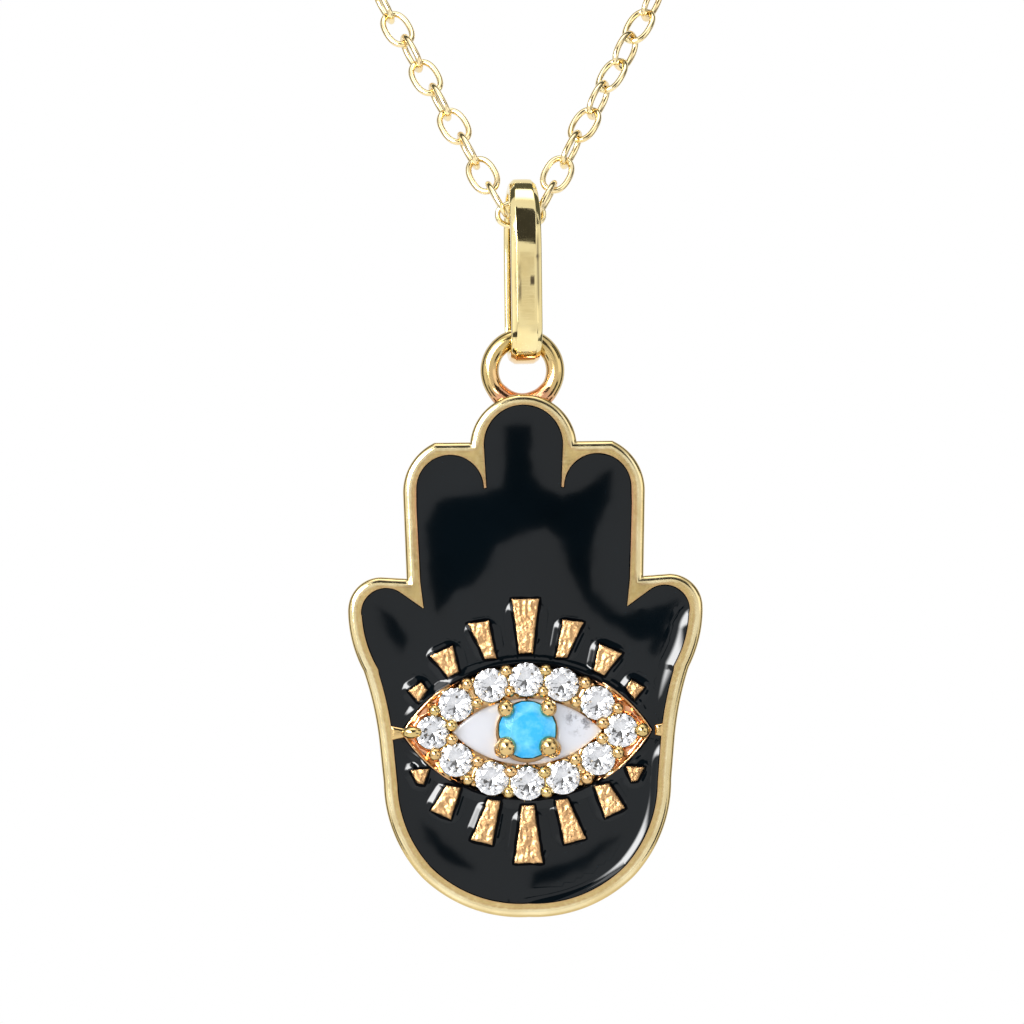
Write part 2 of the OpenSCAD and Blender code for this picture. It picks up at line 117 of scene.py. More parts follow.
# Corners in shares of the eye's half width and half height
LASHES = [[(0.248, 1.07), (0.3, 1.55), (0.448, 1.51), (0.329, 1.07)],
          [(0.546, 0.87), (0.59, 1.21), (0.754, 1.08), (0.625, 0.8)],
          [(0.808, 0.6), (0.846, 0.69), (0.929, 0.6), (0.862, 0.46)],
          [(0.798, -0.53), (0.921, -0.55), (0.875, -0.7), (0.837, -0.71)],
          [(0.542, -0.8), (0.65, -0.77), (0.765, -1.09), (0.621, -1.21)],
          [(0.229, -1.01), (0.321, -0.99), (0.444, -1.5), (0.292, -1.57)]]
LASH_GROWTH = (1.12, 1.12, 1.3, 1.3, 1.12, 1.12)
MIDDLE_LASHES = [[(-0.052, 1.13), (-0.104, 1.86), (0.104, 1.86), (0.052, 1.13)],
                 [(0.048, -1.07), (0.108, -1.85), (-0.108, -1.85), (-0.048, -1.07)]]
MIDDLE_LASH_GROWTH = 1.05
# The clear stones' places in shares of STONE_HALF, from the top and clockwise
STONE_SHARES = [(0, 1), (0.377, 0.895), (0.754, 0.53), (1, 0), (0.754, -0.53), (0.377, -0.895),
                (0, -1), (-0.377, -0.895), (-0.754, -0.53), (-1, 0), (-0.754, 0.53), (-0.377, 0.895)]


# Flat outlines

def arc(circle, inset, start, end, step=0.1):
    """Points along a circle made smaller by inset, between two angles in degrees."""
    radius = circle[2] - inset
    count = max(2, ceil(abs(radians(end - start)) * radius / step))
    turn = np.radians(np.linspace(start, end, count + 1))
    return np.column_stack([circle[0] + radius * np.cos(turn), circle[1] + radius * np.sin(turn)])


def circle(place, radius):
    return arc((*place, radius), 0, 0, 360, 0.09)[:-1]


def almond(half_width, half_height, step=0.1):
    """Upper arc from left to right, then the lower arc back, clockwise."""
    radius = (half_width ** 2 + half_height ** 2) / (2 * half_height)
    turn = degrees(asin(half_width / radius))
    upper = arc((0, half_height - radius, radius), 0, 90 + turn, 90 - turn, step)
    lower = arc((0, radius - half_height, radius), 0, turn - 90, -90 - turn, step)
    return upper, lower


def resample(loop, step):
    """The closed loop with its long edges divided."""
    points = []
    for here, after in zip(loop, np.roll(loop, -1, axis=0)):
        count = max(1, ceil(np.linalg.norm(after - here) / step - 0.01))
        points += [here + (after - here) * i / count for i in range(count)]
    return np.array(points)


def tidy(loop):
    """The closed loop without doubled points."""
    return loop[np.linalg.norm(loop - np.roll(loop, 1, axis=0), axis=1) > 0.012]


def anticlockwise(loop):
    after = np.roll(loop, -1, axis=0)
    area = (loop[:, 0] * after[:, 1] - after[:, 0] * loop[:, 1]).sum()
    return loop if area > 0 else loop[::-1]


def both_halves(right):
    """A closed loop from the right half and its mirror image."""
    left = right[::-1] * [-1, 1]
    return anticlockwise(tidy(resample(tidy(np.vstack([right, left])), 0.12)))


def grow(loop, factor):
    middle = loop.mean(axis=0)
    return middle + (loop - middle) * factor


def outer_right():
    finger_top = SHARE * 81.68
    start = degrees(asin((finger_top - TOP_FINGER[1]) / TOP_FINGER[2]))
    shoulder = degrees(asin((finger_top - SIDE_FINGER[1]) / SIDE_FINGER[2]))
    notch = SHARE * np.array([33.4, 43.44])
    return np.vstack([arc(TOP_FINGER, 0, 90, start), arc(SIDE_FINGER, 0, shoulder, 0), [notch],
                      arc(THUMB, 0, 90, 0), arc(THUMB_SIDE, 0, 0, -27.25), arc(WAIST, 0, 161.8, 175.33),
                      arc(PALM_SIDE, 0, 0, -42.8), arc(PALM_FOOT, 0, -45.4, -92.93)])


def inner_right():
    inset = RIM_WIDTH
    spike = SHARE * np.array([14.43, 72.67]) - inset
    foot = [SHARE * 34.21 - inset, SHARE * 63.74]
    inside_thumb = [SHARE * 33.41 - inset, SHARE * 42.71]
    thumb_spike = [SHARE * 32.53 - inset, SHARE * 39.97 - 1.3 * inset]
    return np.vstack([arc(INNER_TOP_FINGER, inset, 90, 0), [spike],
                      arc(INNER_SIDE_FINGER, inset, 180, 0), [foot, inside_thumb, thumb_spike],
                      arc(INNER_THUMB, inset, 125.7, 0), arc(THUMB_SIDE, inset, -3, -30),
                      arc(WAIST, -inset, 163.2, 175.6), arc(PALM_SIDE, inset, -1, -40.9),
                      arc(PALM_FOOT, inset, -44, -93.2)])


waist_line = WAIST[0] - sqrt((WAIST[2] + RIM_WIDTH) ** 2 - WAIST[1] ** 2)
EYE_HALF_WIDTH = waist_line - BAR_LENGTH
STONE_HALF = (EYE_HALF_WIDTH - 1.18, EYE_HALF_HEIGHT - 0.71)
stone_places = [(a * STONE_HALF[0], b * STONE_HALF[1]) for a, b in STONE_SHARES]
stone_spacing = min(dist(stone_places[i], stone_places[i - 1]) for i in range(12))
STONE_RADIUS = (stone_spacing - STONE_GAP) / 2
CENTRE_RADIUS = STONE_HALF[1] - STONE_RADIUS - CENTRE_MARGIN
WHITE_HALF = (EYE_HALF_WIDTH - 1.93, EYE_HALF_HEIGHT - 1.44)

outer_loop = both_halves(outer_right())
inner_loop = both_halves(inner_right())


def lash_loop(corners, side, factor):
    return grow(anticlockwise(np.array(corners) * [EYE_HALF_WIDTH * side, EYE_HALF_HEIGHT]), factor)


lash_loops = [lash_loop(corners, 1, MIDDLE_LASH_GROWTH) for corners in MIDDLE_LASHES]
for side in (1, -1):
    lash_loops += [lash_loop(corners, side, factor) for corners, factor in zip(LASHES, LASH_GROWTH)]


def inside(points, loop):
    """Which points lie inside the loop."""
    before = np.roll(loop, 1, axis=0)
    run, rise = (loop - before).T
    rise = np.where(rise == 0, 1e-12, rise)
    answer = []
    for part in np.array_split(points, len(points) // 3000 + 1):
        x, y = part[:, :1], part[:, 1:]
        crossed = (loop[:, 1] > y) != (before[:, 1] > y)
        at = before[:, 0] + (y - before[:, 1]) / rise * run
        answer.append((crossed & (x < at)).sum(axis=1) % 2 == 1)
    return np.concatenate(answer)


def nearest(points, loops):
    """Distance from each point to the loops, and the unit way that leads away from them."""
    start = np.vstack(loops)
    way = np.vstack([np.roll(loop, -1, axis=0) for loop in loops]) - start
    size = np.maximum((way ** 2).sum(axis=1), 1e-12)
    gaps, feet = [], []
    for part in np.array_split(points, len(points) // 2000 + 1):
        part = part[:, None, :]
        along = np.clip(((part - start) * way).sum(axis=2) / size, 0, 1)
        reach = start + along[..., None] * way
        apart = ((part - reach) ** 2).sum(axis=2)
        best = np.arange(len(part)), apart.argmin(axis=1)
        gaps.append(np.sqrt(apart[best]))
        feet.append(reach[best])
    gap = np.concatenate(gaps)
    return gap, (points - np.vstack(feet)) / np.maximum(gap, 1e-9)[:, None]


def unit(ways):
    return ways / np.maximum(np.linalg.norm(ways, axis=-1, keepdims=True), 1e-12)


def edge_normals(loop):
    """The unit way to the left of each edge, which is inward for an anticlockwise loop."""
    way = unit(np.roll(loop, -1, axis=0) - loop)
    return np.column_stack([-way[:, 1], way[:, 0]])


def corner_normals(loop):
    after = edge_normals(loop)
    return unit(after + np.roll(after, 1, axis=0))


def offset_loop(loop, distance):
    """The loop moved inward, with sharp corners kept sharp."""
    ways = corner_normals(loop)
    share = np.maximum((ways * edge_normals(loop)).sum(axis=1), 0.6)
    return loop + distance * ways / share[:, None]


class Region:
    """Triangles that fill the area inside an outer loop and outside some holes, with rows of points along the
    loops at the distances in rings."""

    def __init__(self, outer, holes=(), rings=(), grid=0.3, crowd=0.045):
        self.loops = [anticlockwise(loop) for loop in (outer, *holes)]
        self.signs = [1] + [-1] * len(holes)
        self.ways = [sign * corner_normals(loop) for sign, loop in zip(self.signs, self.loops)]
        near = np.zeros((0, 2))
        if rings:
            near = np.vstack([self.ring(distance) for distance in rings])
            _, first = np.unique(np.round(near / crowd), axis=0, return_index=True)
            near = near[np.sort(first)]
        low, high = self.loops[0].min(axis=0), self.loops[0].max(axis=0)
        across, up = np.meshgrid(np.arange(low[0], high[0], grid), np.arange(low[1], high[1], grid * 0.866))
        across = across + (np.arange(len(up)) % 2)[:, None] * grid / 2
        fill = np.column_stack([across.ravel(), up.ravel()])
        fill = fill[self.holds(fill)]
        fill = fill[nearest(fill, self.loops)[0] > max(rings, default=0) + 0.55 * grid]
        edges = []
        for loop in self.loops:
            base = len(edges)
            edges += [(base + i, base + (i + 1) % len(loop)) for i in range(len(loop))]
        self.triangulate(np.vstack(self.loops + [near, fill]), edges)

    def ring(self, distance):
        """Points at a distance from the loops, also to both sides of each corner."""
        rows = []
        for sign, loop, ways in zip(self.signs, self.loops, self.ways):
            after = sign * edge_normals(loop)
            rows += [loop + distance * way for way in (after, np.roll(after, 1, axis=0), ways)]
        points = np.vstack(rows)
        return points[(nearest(points, self.loops)[0] > 0.97 * distance) & self.holds(points)]

    def triangulate(self, flat, edges):
        points, _, faces, sources = delaunay_2d_cdt([Vector(p) for p in flat], edges, [], 0, 1e-5)[:4]
        self.points = np.array([tuple(p) for p in points])
        faces = np.array(faces)
        faces = faces[self.holds(self.points[faces].mean(axis=1))]
        corners = self.points[faces]
        turn = np.cross(corners[:, 1] - corners[:, 0], corners[:, 2] - corners[:, 0])
        faces[turn < 0] = faces[turn < 0][:, ::-1]
        self.faces = faces[np.abs(turn) > 1e-9]
        loop_ways = np.vstack(self.ways)
        self.edge_ways = np.zeros((len(self.points), 2))
        for place, olds in enumerate(sources):
            for old in sorted(olds):
                if old < len(loop_ways):
                    self.edge_ways[place] = loop_ways[old]

    def holds(self, points):
        answer = inside(points, self.loops[0])
        for hole in self.loops[1:]:
            answer &= ~inside(points, hole)
        return answer

    def gap_to(self, *loops):
        """Distance and way from the loops, with the way into the region on the loops themselves."""
        gap, way = nearest(self.points, loops)
        touching = gap < 1e-4
        way[touching] = self.edge_ways[touching]
        return gap, way


# Surfaces

FLAT = np.array([[1, 0, 0], [0, 0, -1], [0, 1, 0]], float)
FLAT_PLACE = np.array([0, HANG_Y + RING_DEPTH, EYE_Z])
UPRIGHT = np.identity(3)


def smooth_step(value, low, high):
    t = np.clip((value - low) / (high - low), 0, 1)
    return t * t * (3 - 2 * t)


def bell(value, width):
    return np.exp(-(value / width) ** 2)


def noise_at(x, y, z, kind=noise.noise, *settings):
    """Noise at places, where x, y and z are each an array or one number."""
    return np.array([kind(Vector(place), *settings) for place in np.broadcast(x, y, z)])


def nudge(draw, reach):
    """A small random step across and up."""
    return [draw.uniform(-reach, reach), draw.uniform(-reach, reach)]


def lift(points, heights):
    """Flat points, or flat ways, with a third value."""
    return np.column_stack([points, np.broadcast_to(heights, len(points))])


def strip_faces(count, rows=2):
    """Quads between closed rows of so many corners."""
    i = np.arange(count)
    after = (i + 1) % count
    band = np.column_stack([i, after, after + count, i + count])
    return np.vstack([band + k * count for k in range(rows - 1)])


def tube_faces(around, sides):
    """Quads of a tube that closes on itself."""
    i = np.repeat(np.arange(around), sides)
    j = np.tile(np.arange(sides), around)
    here, ahead = i * sides, (i + 1) % around * sides
    after = (j + 1) % sides
    return np.column_stack([here + j, here + after, ahead + after, ahead + j])


def face_ways(corners, faces):
    """Each face's normal, as long as twice its area."""
    first, second, third = (corners[faces[:, k]] for k in range(3))
    return np.cross(third - first, corners[faces[:, -1]] - second)


def smooth_normals(corners, faces):
    """Normals that follow the mesh, weighted by the area of the faces."""
    total = np.zeros_like(corners)
    way = face_ways(corners, faces)
    for k in range(faces.shape[1]):
        np.add.at(total, faces[:, k], way)
    return unit(total)


def turn_matrix(x=0.0, y=0.0, z=0.0):
    """Turns by degrees about X, then Y, then Z."""
    turns = [Matrix.Rotation(radians(angle), 3, axis) for angle, axis in ((z, "Z"), (y, "Y"), (x, "X"))]
    return np.array(turns[0] @ turns[1] @ turns[2])


def add_object(name, data):
    thing = bpy.data.objects.new(name, data)
    bpy.context.scene.collection.objects.link(thing)
    return thing


def add_mesh(name, corners, faces, material):
    mesh = bpy.data.meshes.new(name)
    mesh.from_pydata(corners, [], faces)
    mesh.materials.append(material)
    return add_object(name, mesh)


class Shape:
    """Collects surfaces in millimetres and makes one object of them."""

    def __init__(self):
        self.corners = []
        self.faces = []
        self.normals = []
        # Tints: copper tone and painted warm shade, dark stains and painted shade, and a painted highlight
        self.tints = {"copper": [], "grime": [], "pale": []}

    def add_group(self, corners, groups, tints):
        """Corners with their groups of faces, each with the normals of its faces' corners."""
        base = sum(len(rows) for rows in self.corners)
        for faces, normals in groups:
            self.faces += (faces + base).tolist()
            self.normals.append(normals)
        self.corners.append(corners)
        for label, values in self.tints.items():
            values.append(np.broadcast_to(tints.get(label, 0.0), len(corners)))

    def add(self, corners, faces, normals=None, **tints):
        if normals is None:
            normals = smooth_normals(corners, faces)
        self.add_group(corners, [(faces, normals[faces.ravel()])], tints)

    def add_cut(self, corners, *groups):
        """A form with flat faces, in groups of triangles or quads."""
        ways = [np.repeat(unit(face_ways(corners, faces)), faces.shape[1], axis=0) for faces in groups]
        self.add_group(corners, zip(groups, ways), {})

    def top(self, region, heights, slopes=None, **tints):
        """The region as a surface that faces up, with its slopes where they are known."""
        normals = None if slopes is None else unit(lift(-slopes, 1))
        self.add(lift(region.points, heights), region.faces, normals, **tints)

    def bottom(self, region, heights, **tints):
        self.add(lift(region.points, heights), region.faces[:, ::-1], **tints)

    def wall(self, loop, low, high, outward=True, **tints):
        """An upright wall along an anticlockwise loop."""
        faces = strip_faces(len(loop))
        normals = lift(-corner_normals(loop), 0)
        if not outward:
            faces, normals = faces[:, ::-1], -normals
        self.add(np.vstack([lift(loop, low), lift(loop, high)]), faces, np.tile(normals, (2, 1)), **tints)

    def lathe(self, profile, place, sides, stretch=(1.0, 1.0), **tints):
        """A turned form from [radius, height] rows, solid if they go up and in, and a hollow if up and out."""
        turn = np.arange(sides) / sides * 2 * pi
        ring = np.column_stack([np.cos(turn), np.sin(turn)]) * stretch
        corners = np.vstack([lift(place + radius * ring, height) for radius, height in profile])
        self.add(corners, strip_faces(sides, len(profile)), **tints)

    def make(self, name, body, material, nodes, turn=FLAT, place=FLAT_PLACE):
        corners = np.vstack(self.corners) @ turn.T + place
        piece = add_mesh(name, (corners * MM).tolist(), self.faces, material)
        mesh = piece.data
        mesh.polygons.foreach_set("use_smooth", [True] * len(mesh.polygons))
        mesh.normals_split_custom_set((np.vstack(self.normals) @ turn.T).tolist())
        for label, values in self.tints.items():
            layer = mesh.attributes.new(label, "FLOAT", "POINT")
            layer.data.foreach_set("value", np.concatenate(values).astype(np.float32))
        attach(piece, body)
        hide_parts(*nodes)
        return piece


# Materials

def feed(tree, socket, value):
    """Sets a socket to a value, or links a node's output to it."""
    if isinstance(value, bpy.types.NodeSocket):
        tree.links.new(value, socket)
    else:
        socket.default_value = value


def add_node(tree, kind, output, settings=(), **inputs):
    """The output of a new node with its settings and inputs, each input a value or another node's output."""
    node = tree.nodes.new(kind)
    for name, value in settings:
        setattr(node, name, value)
    for name, value in inputs.items():
        feed(tree, node.inputs[name.replace("_", " ")], value)
    return node.outputs[output]


def node_material(name, **constants):
    material = bpy.data.materials.new(name)
    material.use_nodes = True
    shader = material.node_tree.nodes["Principled BSDF"]
    for socket, value in constants.items():
        shader.inputs[socket.replace("_", " ")].default_value = value
    return material, material.node_tree, shader


def attribute(tree, name):
    return add_node(tree, "ShaderNodeAttribute", "Fac", [("attribute_name", name)])


def place_node(tree):
    return add_node(tree, "ShaderNodeTexCoord", "Object")


def noise_node(tree, scale, detail=3.0, roughness=0.55, stretch=None):
    where = place_node(tree)
    if stretch:
        where = add_node(tree, "ShaderNodeMapping", "Vector", Vector=where, Scale=stretch,
                         Rotation=(0.0, 0.5, 0.3))
    return add_node(tree, "ShaderNodeTexNoise", "Fac", Vector=where, Scale=scale, Detail=detail,
                    Roughness=roughness)


def ramp(tree, source, low, high, value_low=0.0, value_high=1.0):
    return add_node(tree, "ShaderNodeMapRange", "Result", Value=source, From_Min=low, From_Max=high,
                    To_Min=value_low, To_Max=value_high)


def blend_colours(tree, factor, first, second):
    """A mix of two colours, each a colour or the output of a node."""
    node = tree.nodes.new("ShaderNodeMix")
    node.data_type = "RGBA"
    for number, value in ((0, factor), (6, first), (7, second)):
        feed(tree, node.inputs[number], value)
    return node.outputs[2]


def add_bump(tree, shader, *rows):
    """Bumps from [height output, distance in metres, strength] rows, one on the other."""
    for height, distance, strength in rows:
        inputs = {"Height": height, "Distance": distance, "Strength": strength}
        if shader.inputs["Normal"].is_linked:
            inputs["Normal"] = shader.inputs["Normal"].links[0].from_socket
        feed(tree, shader.inputs["Normal"], add_node(tree, "ShaderNodeBump", "Normal", **inputs))


BRIGHT_GOLD = (0.62, 0.465, 0.2, 1.0)
DEEP_GOLD = (0.53, 0.39, 0.155, 1.0)
BAIL_BRIGHT = (0.87, 0.74, 0.39, 1.0)
BAIL_DEEP = (0.82, 0.66, 0.31, 1.0)
CHAIN_BRIGHT = (0.88, 0.75, 0.45, 1.0)
CHAIN_DEEP = (0.8, 0.64, 0.33, 1.0)
FOIL_BRIGHT = (0.39, 0.27, 0.118, 1.0)
FOIL_DEEP = (0.25, 0.16, 0.057, 1.0)
# Colour of the painted highlight
PAINTED_HIGHLIGHT_GOLD = (0.92, 0.82, 0.53, 1.0)
# Copper tone, also used as painted warm shade in hollows, crevices and recesses
COPPER_TONE_AND_SHADE = (0.72, 0.36, 0.2, 1.0)
# Dark brown for stains and specks, also used as painted shade in crevices, seats and along edges
GRIME_AND_SHADE = (0.06, 0.04, 0.03, 1.0)
NIGHT = (0.0012, 0.0028, 0.0042, 1.0)
DUSK = (0.0018, 0.004, 0.006, 1.0)
# Colours of the painted shade line where the enamel meets the metal
SHADE_LINE_NIGHT = (0.0012, 0.0014, 0.002, 1.0)
SHADE_LINE_DUSK = (0.002, 0.0022, 0.003, 1.0)
MILK = (0.6, 0.63, 0.7, 1.0)
PALE_MILK = (0.68, 0.7, 0.76, 1.0)
WISP = (0.09, 0.09, 0.11, 1.0)
ICE = (0.77, 0.78, 0.81, 1.0)
GREY_ICE = (0.67, 0.69, 0.73, 1.0)
SKY = (0.03, 0.45, 0.9, 1.0)
PALE_SKY = (0.2, 0.68, 0.98, 1.0)


def gold_material(name, bright, deep, rough_low, rough_high, grain_scale, grain_strength, scratch_strength):
    """Plated gold with fine scratches and a soft cast skin. Its coppery hollows are painted warm shade, its
    brown tint marks stains in some places and painted shade in others, and its pale tint is a painted
    highlight.
    """
    material, tree, shader = node_material(name, Metallic=1.0)
    colour = blend_colours(tree, ramp(tree, noise_node(tree, 700.0), 0.35, 0.7), bright, deep)
    # Painted highlight, copper tone with painted warm shade, then dark stains with painted shade
    for label, tint in (("pale", PAINTED_HIGHLIGHT_GOLD), ("copper", COPPER_TONE_AND_SHADE), ("grime", GRIME_AND_SHADE)):
        colour = blend_colours(tree, attribute(tree, label), colour, tint)
    feed(tree, shader.inputs["Base Color"], colour)
    worn = noise_node(tree, 2600.0, 4.0, 0.6)
    feed(tree, shader.inputs["Roughness"], ramp(tree, worn, 0.3, 0.75, rough_low, rough_high))
    add_bump(tree, shader, (noise_node(tree, grain_scale, 3.0, 0.5), 0.00002, grain_strength),
             (noise_node(tree, 900.0, 2.0, 0.5, (1.0, 1.0, 14.0)), 0.000006, scratch_strength))
    return material


def enamel_material(name, colour, tint, low, high, gloss):
    """Glossy enamel whose colour drifts a little."""
    material, tree, shader = node_material(name, Roughness=0.025, IOR=1.46, Specular_IOR_Level=gloss)
    mixed = blend_colours(tree, ramp(tree, noise_node(tree, 260.0), low, high), colour, tint)
    feed(tree, shader.inputs["Base Color"], mixed)
    add_bump(tree, shader, (noise_node(tree, 420.0, 2.0), 0.00002, 0.06))
    return material


def white_material():
    """White enamel with a grey wisp in the right field."""
    material = enamel_material("white_enamel", MILK, PALE_MILK, 0.35, 0.65, 0.5)
    tree = material.node_tree
    base = tree.nodes["Principled BSDF"].inputs["Base Color"]
    spot = (2.05 * MM, (HANG_Y + RING_DEPTH - WHITE_TOP) * MM, (EYE_Z + 0.45) * MM)
    measure = tree.nodes.new("ShaderNodeVectorMath")
    measure.operation = "DISTANCE"
    feed(tree, measure.inputs[0], place_node(tree))
    feed(tree, measure.inputs[1], spot)
    near = ramp(tree, measure.outputs["Value"], 0.0002, 0.00075, 1.0, 0.0)
    both = tree.nodes.new("ShaderNodeMath")
    both.operation = "MULTIPLY"
    feed(tree, both.inputs[0], near)
    feed(tree, both.inputs[1], ramp(tree, noise_node(tree, 1900.0, 5.0, 0.7), 0.46, 0.58))
    feed(tree, base, blend_colours(tree, both.outputs[0], base.links[0].from_socket, WISP))
    return material


def clear_material():
    material, tree, shader = node_material("clear_stone", Roughness=0.045, IOR=2.0, Transmission_Weight=1.0)
    cloud = ramp(tree, noise_node(tree, 1500.0, 2.0), 0.4, 0.7)
    feed(tree, shader.inputs["Base Color"], blend_colours(tree, cloud, ICE, GREY_ICE))
    return material


def opal_material():
    """Milky sky blue with paler clouds."""
    material, tree, shader = node_material("blue_stone", Roughness=0.22, IOR=1.4, Subsurface_Weight=0.15,
                                           Subsurface_Scale=0.0003, Subsurface_Radius=(0.2, 0.5, 1.0))
    cloud = ramp(tree, noise_node(tree, 1500.0, 4.0, 0.6), 0.42, 0.72)
    feed(tree, shader.inputs["Base Color"], blend_colours(tree, cloud, SKY, PALE_SKY))
    add_bump(tree, shader, (noise_node(tree, 2600.0, 2.0), 0.00003, 0.2))
    return material


gold = gold_material("gold", BRIGHT_GOLD, DEEP_GOLD, 0.09, 0.2, 1500.0, 0.25, 0.2)
bail_gold = gold_material("bail_gold", BAIL_BRIGHT, BAIL_DEEP, 0.05, 0.12, 600.0, 0.1, 0.12)
chain_gold = gold_material("chain_gold", CHAIN_BRIGHT, CHAIN_DEEP, 0.1, 0.16, 900.0, 0.05, 0.04)
foil_gold = gold_material("foil_gold", FOIL_BRIGHT, FOIL_DEEP, 0.38, 0.55, 5000.0, 0.6, 0.3)
black_enamel = enamel_material("black_enamel", NIGHT, DUSK, 0.4, 0.7, 0.33)
# Painted shade: near-black enamel almost without gloss, for the dark line where the enamel meets the metal
shade_line_enamel = enamel_material("shade_line_enamel", SHADE_LINE_NIGHT, SHADE_LINE_DUSK, 0.4, 0.7, 0.03)
white_enamel = white_material()
clear_stone = clear_material()
blue_stone = opal_material()


# The hand's rim, back, bars and ring

def streaks(points, scale):
    x, y = points.T * scale
    return noise_at(x, y, scale)


def add_shoulder(shape):
    """The rim's rounded outer edge in strips, with a painted highlight band of uneven strength. Gives its
    inner line.
    """
    depths = np.array([0, 0.012, 0.028, 0.046, 0.065, 0.085, 0.105, 0.13, 0.155, 0.18, 0.21, SHOULDER])
    rise = RIM_TOP - RIM_SIDE
    part = 1 - depths / SHOULDER
    heights = RIM_SIDE + rise * np.sqrt(1 - part ** 2)
    lean = np.minimum(part, 0.985)
    steep = rise / SHOULDER * lean / np.sqrt(1 - lean ** 2)
    ways = corner_normals(outer_loop)
    rows = [offset_loop(outer_loop, depth) for depth in depths]
    corners = np.vstack([lift(line, height) for line, height in zip(rows, heights)])
    normals = unit(np.vstack([lift(-slope * ways, 1) for slope in steep]))
    uneven = 0.75 + 0.5 * np.tile(streaks(outer_loop, 0.9), len(depths))
    band = smooth_step(np.repeat(depths, len(outer_loop)), 0.05, 0.14)
    # Painted highlight: a pale band of uneven strength on the rounded outer edge
    pale = np.clip(0.65 * uneven * band, 0, 1)
    shape.add(corners, strip_faces(len(outer_loop), len(rows)), normals, pale=pale)
    return rows[-1]


def add_rim_top(shape, outline):
    """The rim's flat top, with a painted dark line along the shoulder, a painted highlight band outside it,
    painted warm shade (coppery) in the spikes between the fingers and along the inner edge, and a dark spot at
    each side by the notch between finger and thumb.
    """
    spike_height = 8.2
    notch_spot_place = (4.5, 5.72)
    area = Region(outline, [inner_loop], (0.04,), 0.06, crowd=0.03)
    outer_gap = area.gap_to(outer_loop)[0]
    inner_gap = area.gap_to(inner_loop)[0]
    x, y = area.points.T
    uneven = streaks(area.points, 0.9)
    # Painted warm shade in the spikes between the fingers
    spike_shade = np.exp(-inner_gap / 0.1) * smooth_step(np.abs(y - spike_height), 2.0, 0.8)
    notch_spots = sum(np.exp(-np.hypot(x - side * notch_spot_place[0], y - notch_spot_place[1]) / 0.16) for side in (-1, 1))
    # Painted shade: a dark line along the shoulder
    line = bell(outer_gap - 0.33 - 0.03 * uneven, 0.025)
    # Painted shade along the inner edge, where the rim meets the enamel
    edge = smooth_step(inner_gap, 0.1, 0.0)
    # Painted highlight: a pale band along the outer part of the top, with scattered pale streaks
    pale = (0.65 + 0.5 * uneven) * smooth_step(outer_gap, 0.36, 0.24) + 0.25 * streaks(area.points, 7.0)
    shape.top(area, RIM_TOP, 0 * area.points, pale=np.clip(pale, 0, 1),
              copper=np.clip(0.25 * line + 0.5 * spike_shade + 0.3 * edge, 0, 1),
              grime=np.clip(0.14 * line + 0.5 * notch_spots + 0.1 * edge, 0, 0.8))


def add_back(shape):
    """The plain back with its rounded edge, the rim's sides and the plate under the enamel."""
    bevel = 0.16
    back = Region(outer_loop, [], (0.02, 0.05, 0.09, 0.13, 0.17), 0.5, crowd=0.05)
    gap, way = back.gap_to(outer_loop)
    part = np.clip(1 - gap / bevel, 0, 1)
    lean = np.minimum(part, 0.98)
    normals = unit(lift(-way * (lean / np.sqrt(1 - lean ** 2))[:, None], -1))
    shape.add(lift(back.points, bevel * (1 - np.sqrt(1 - part ** 2))), back.faces[:, ::-1], normals)
    shape.wall(outer_loop, bevel, RIM_SIDE)
    # Painted shade on the rim's inner wall
    shape.wall(inner_loop, PLATE_TOP, RIM_TOP - 0.005, outward=False, grime=0.3)
    shape.top(Region(inner_loop, [], (), 0.8), PLATE_TOP)


def add_bars(shape):
    """The two bars beside the eye. The left one meets the eye and the right one ends short of it."""
    crown, fall = 0.08, 0.05
    root = waist_line + 0.06
    left = (-1, 4.7, 0.17, BAR_HEIGHT / 2 + 0.03)
    right = (1, 4.93, 0.2, BAR_HEIGHT / 2)
    for side, end, end_half, root_half in (left, right):
        bar = np.array([(end, -end_half), (root, -root_half), (root, root_half), (end, end_half)])
        bar = anticlockwise(resample(bar * [side, 1], 0.05))
        surface = Region(bar, [], (0.03, 0.06), 0.05, crowd=0.02)
        gap, way = surface.gap_to(bar)
        fade = np.exp(-gap / fall)
        slopes = (crown / fall * fade)[:, None] * way
        shape.top(surface, RIM_TOP - 0.04 + crown * (1 - fade), slopes, copper=0.15)
        shape.wall(bar, PLATE_TOP, RIM_TOP - 0.02)


def make_rim():
    shape = Shape()
    add_rim_top(shape, add_shoulder(shape))
    add_back(shape)
    add_bars(shape)
    shape.make("hand_rim", "hand", gold, ["hand"])


def make_ring():
    """The wire ring, a little thicker and coppery where solder joins it to the hand."""
    shape = Shape()
    rings, sides = 96, 28
    around = np.repeat(np.arange(rings) / rings * 2 * pi, sides)
    section = np.tile(np.arange(sides) / sides * 2 * pi, rings)
    low = smooth_step(-np.sin(around), 0.45, 0.8)
    wire = RING_WIRE * (1 + 0.12 * low)
    lumps = noise_at(np.cos(around) * 3, np.sin(around) * 3, section)
    reach = RING_LINE + wire * np.cos(section) + 0.012 * lumps * (0.3 + low)
    corners = np.column_stack([reach * np.cos(around), RING_HEIGHT + reach * np.sin(around),
                               RING_DEPTH + wire * np.sin(section)])
    inner_side = smooth_step(-np.cos(section), -0.6, 0.6) * smooth_step(-np.sin(around), -0.6, 0.3)
    shape.add(corners, tube_faces(rings, sides)[:, [0, 3, 2, 1]],
              copper=np.clip(0.95 * low + 0.35 * inner_side, 0, 1), grime=0.12 * low)
    shape.make("ring", "hand", gold, ["hand"])


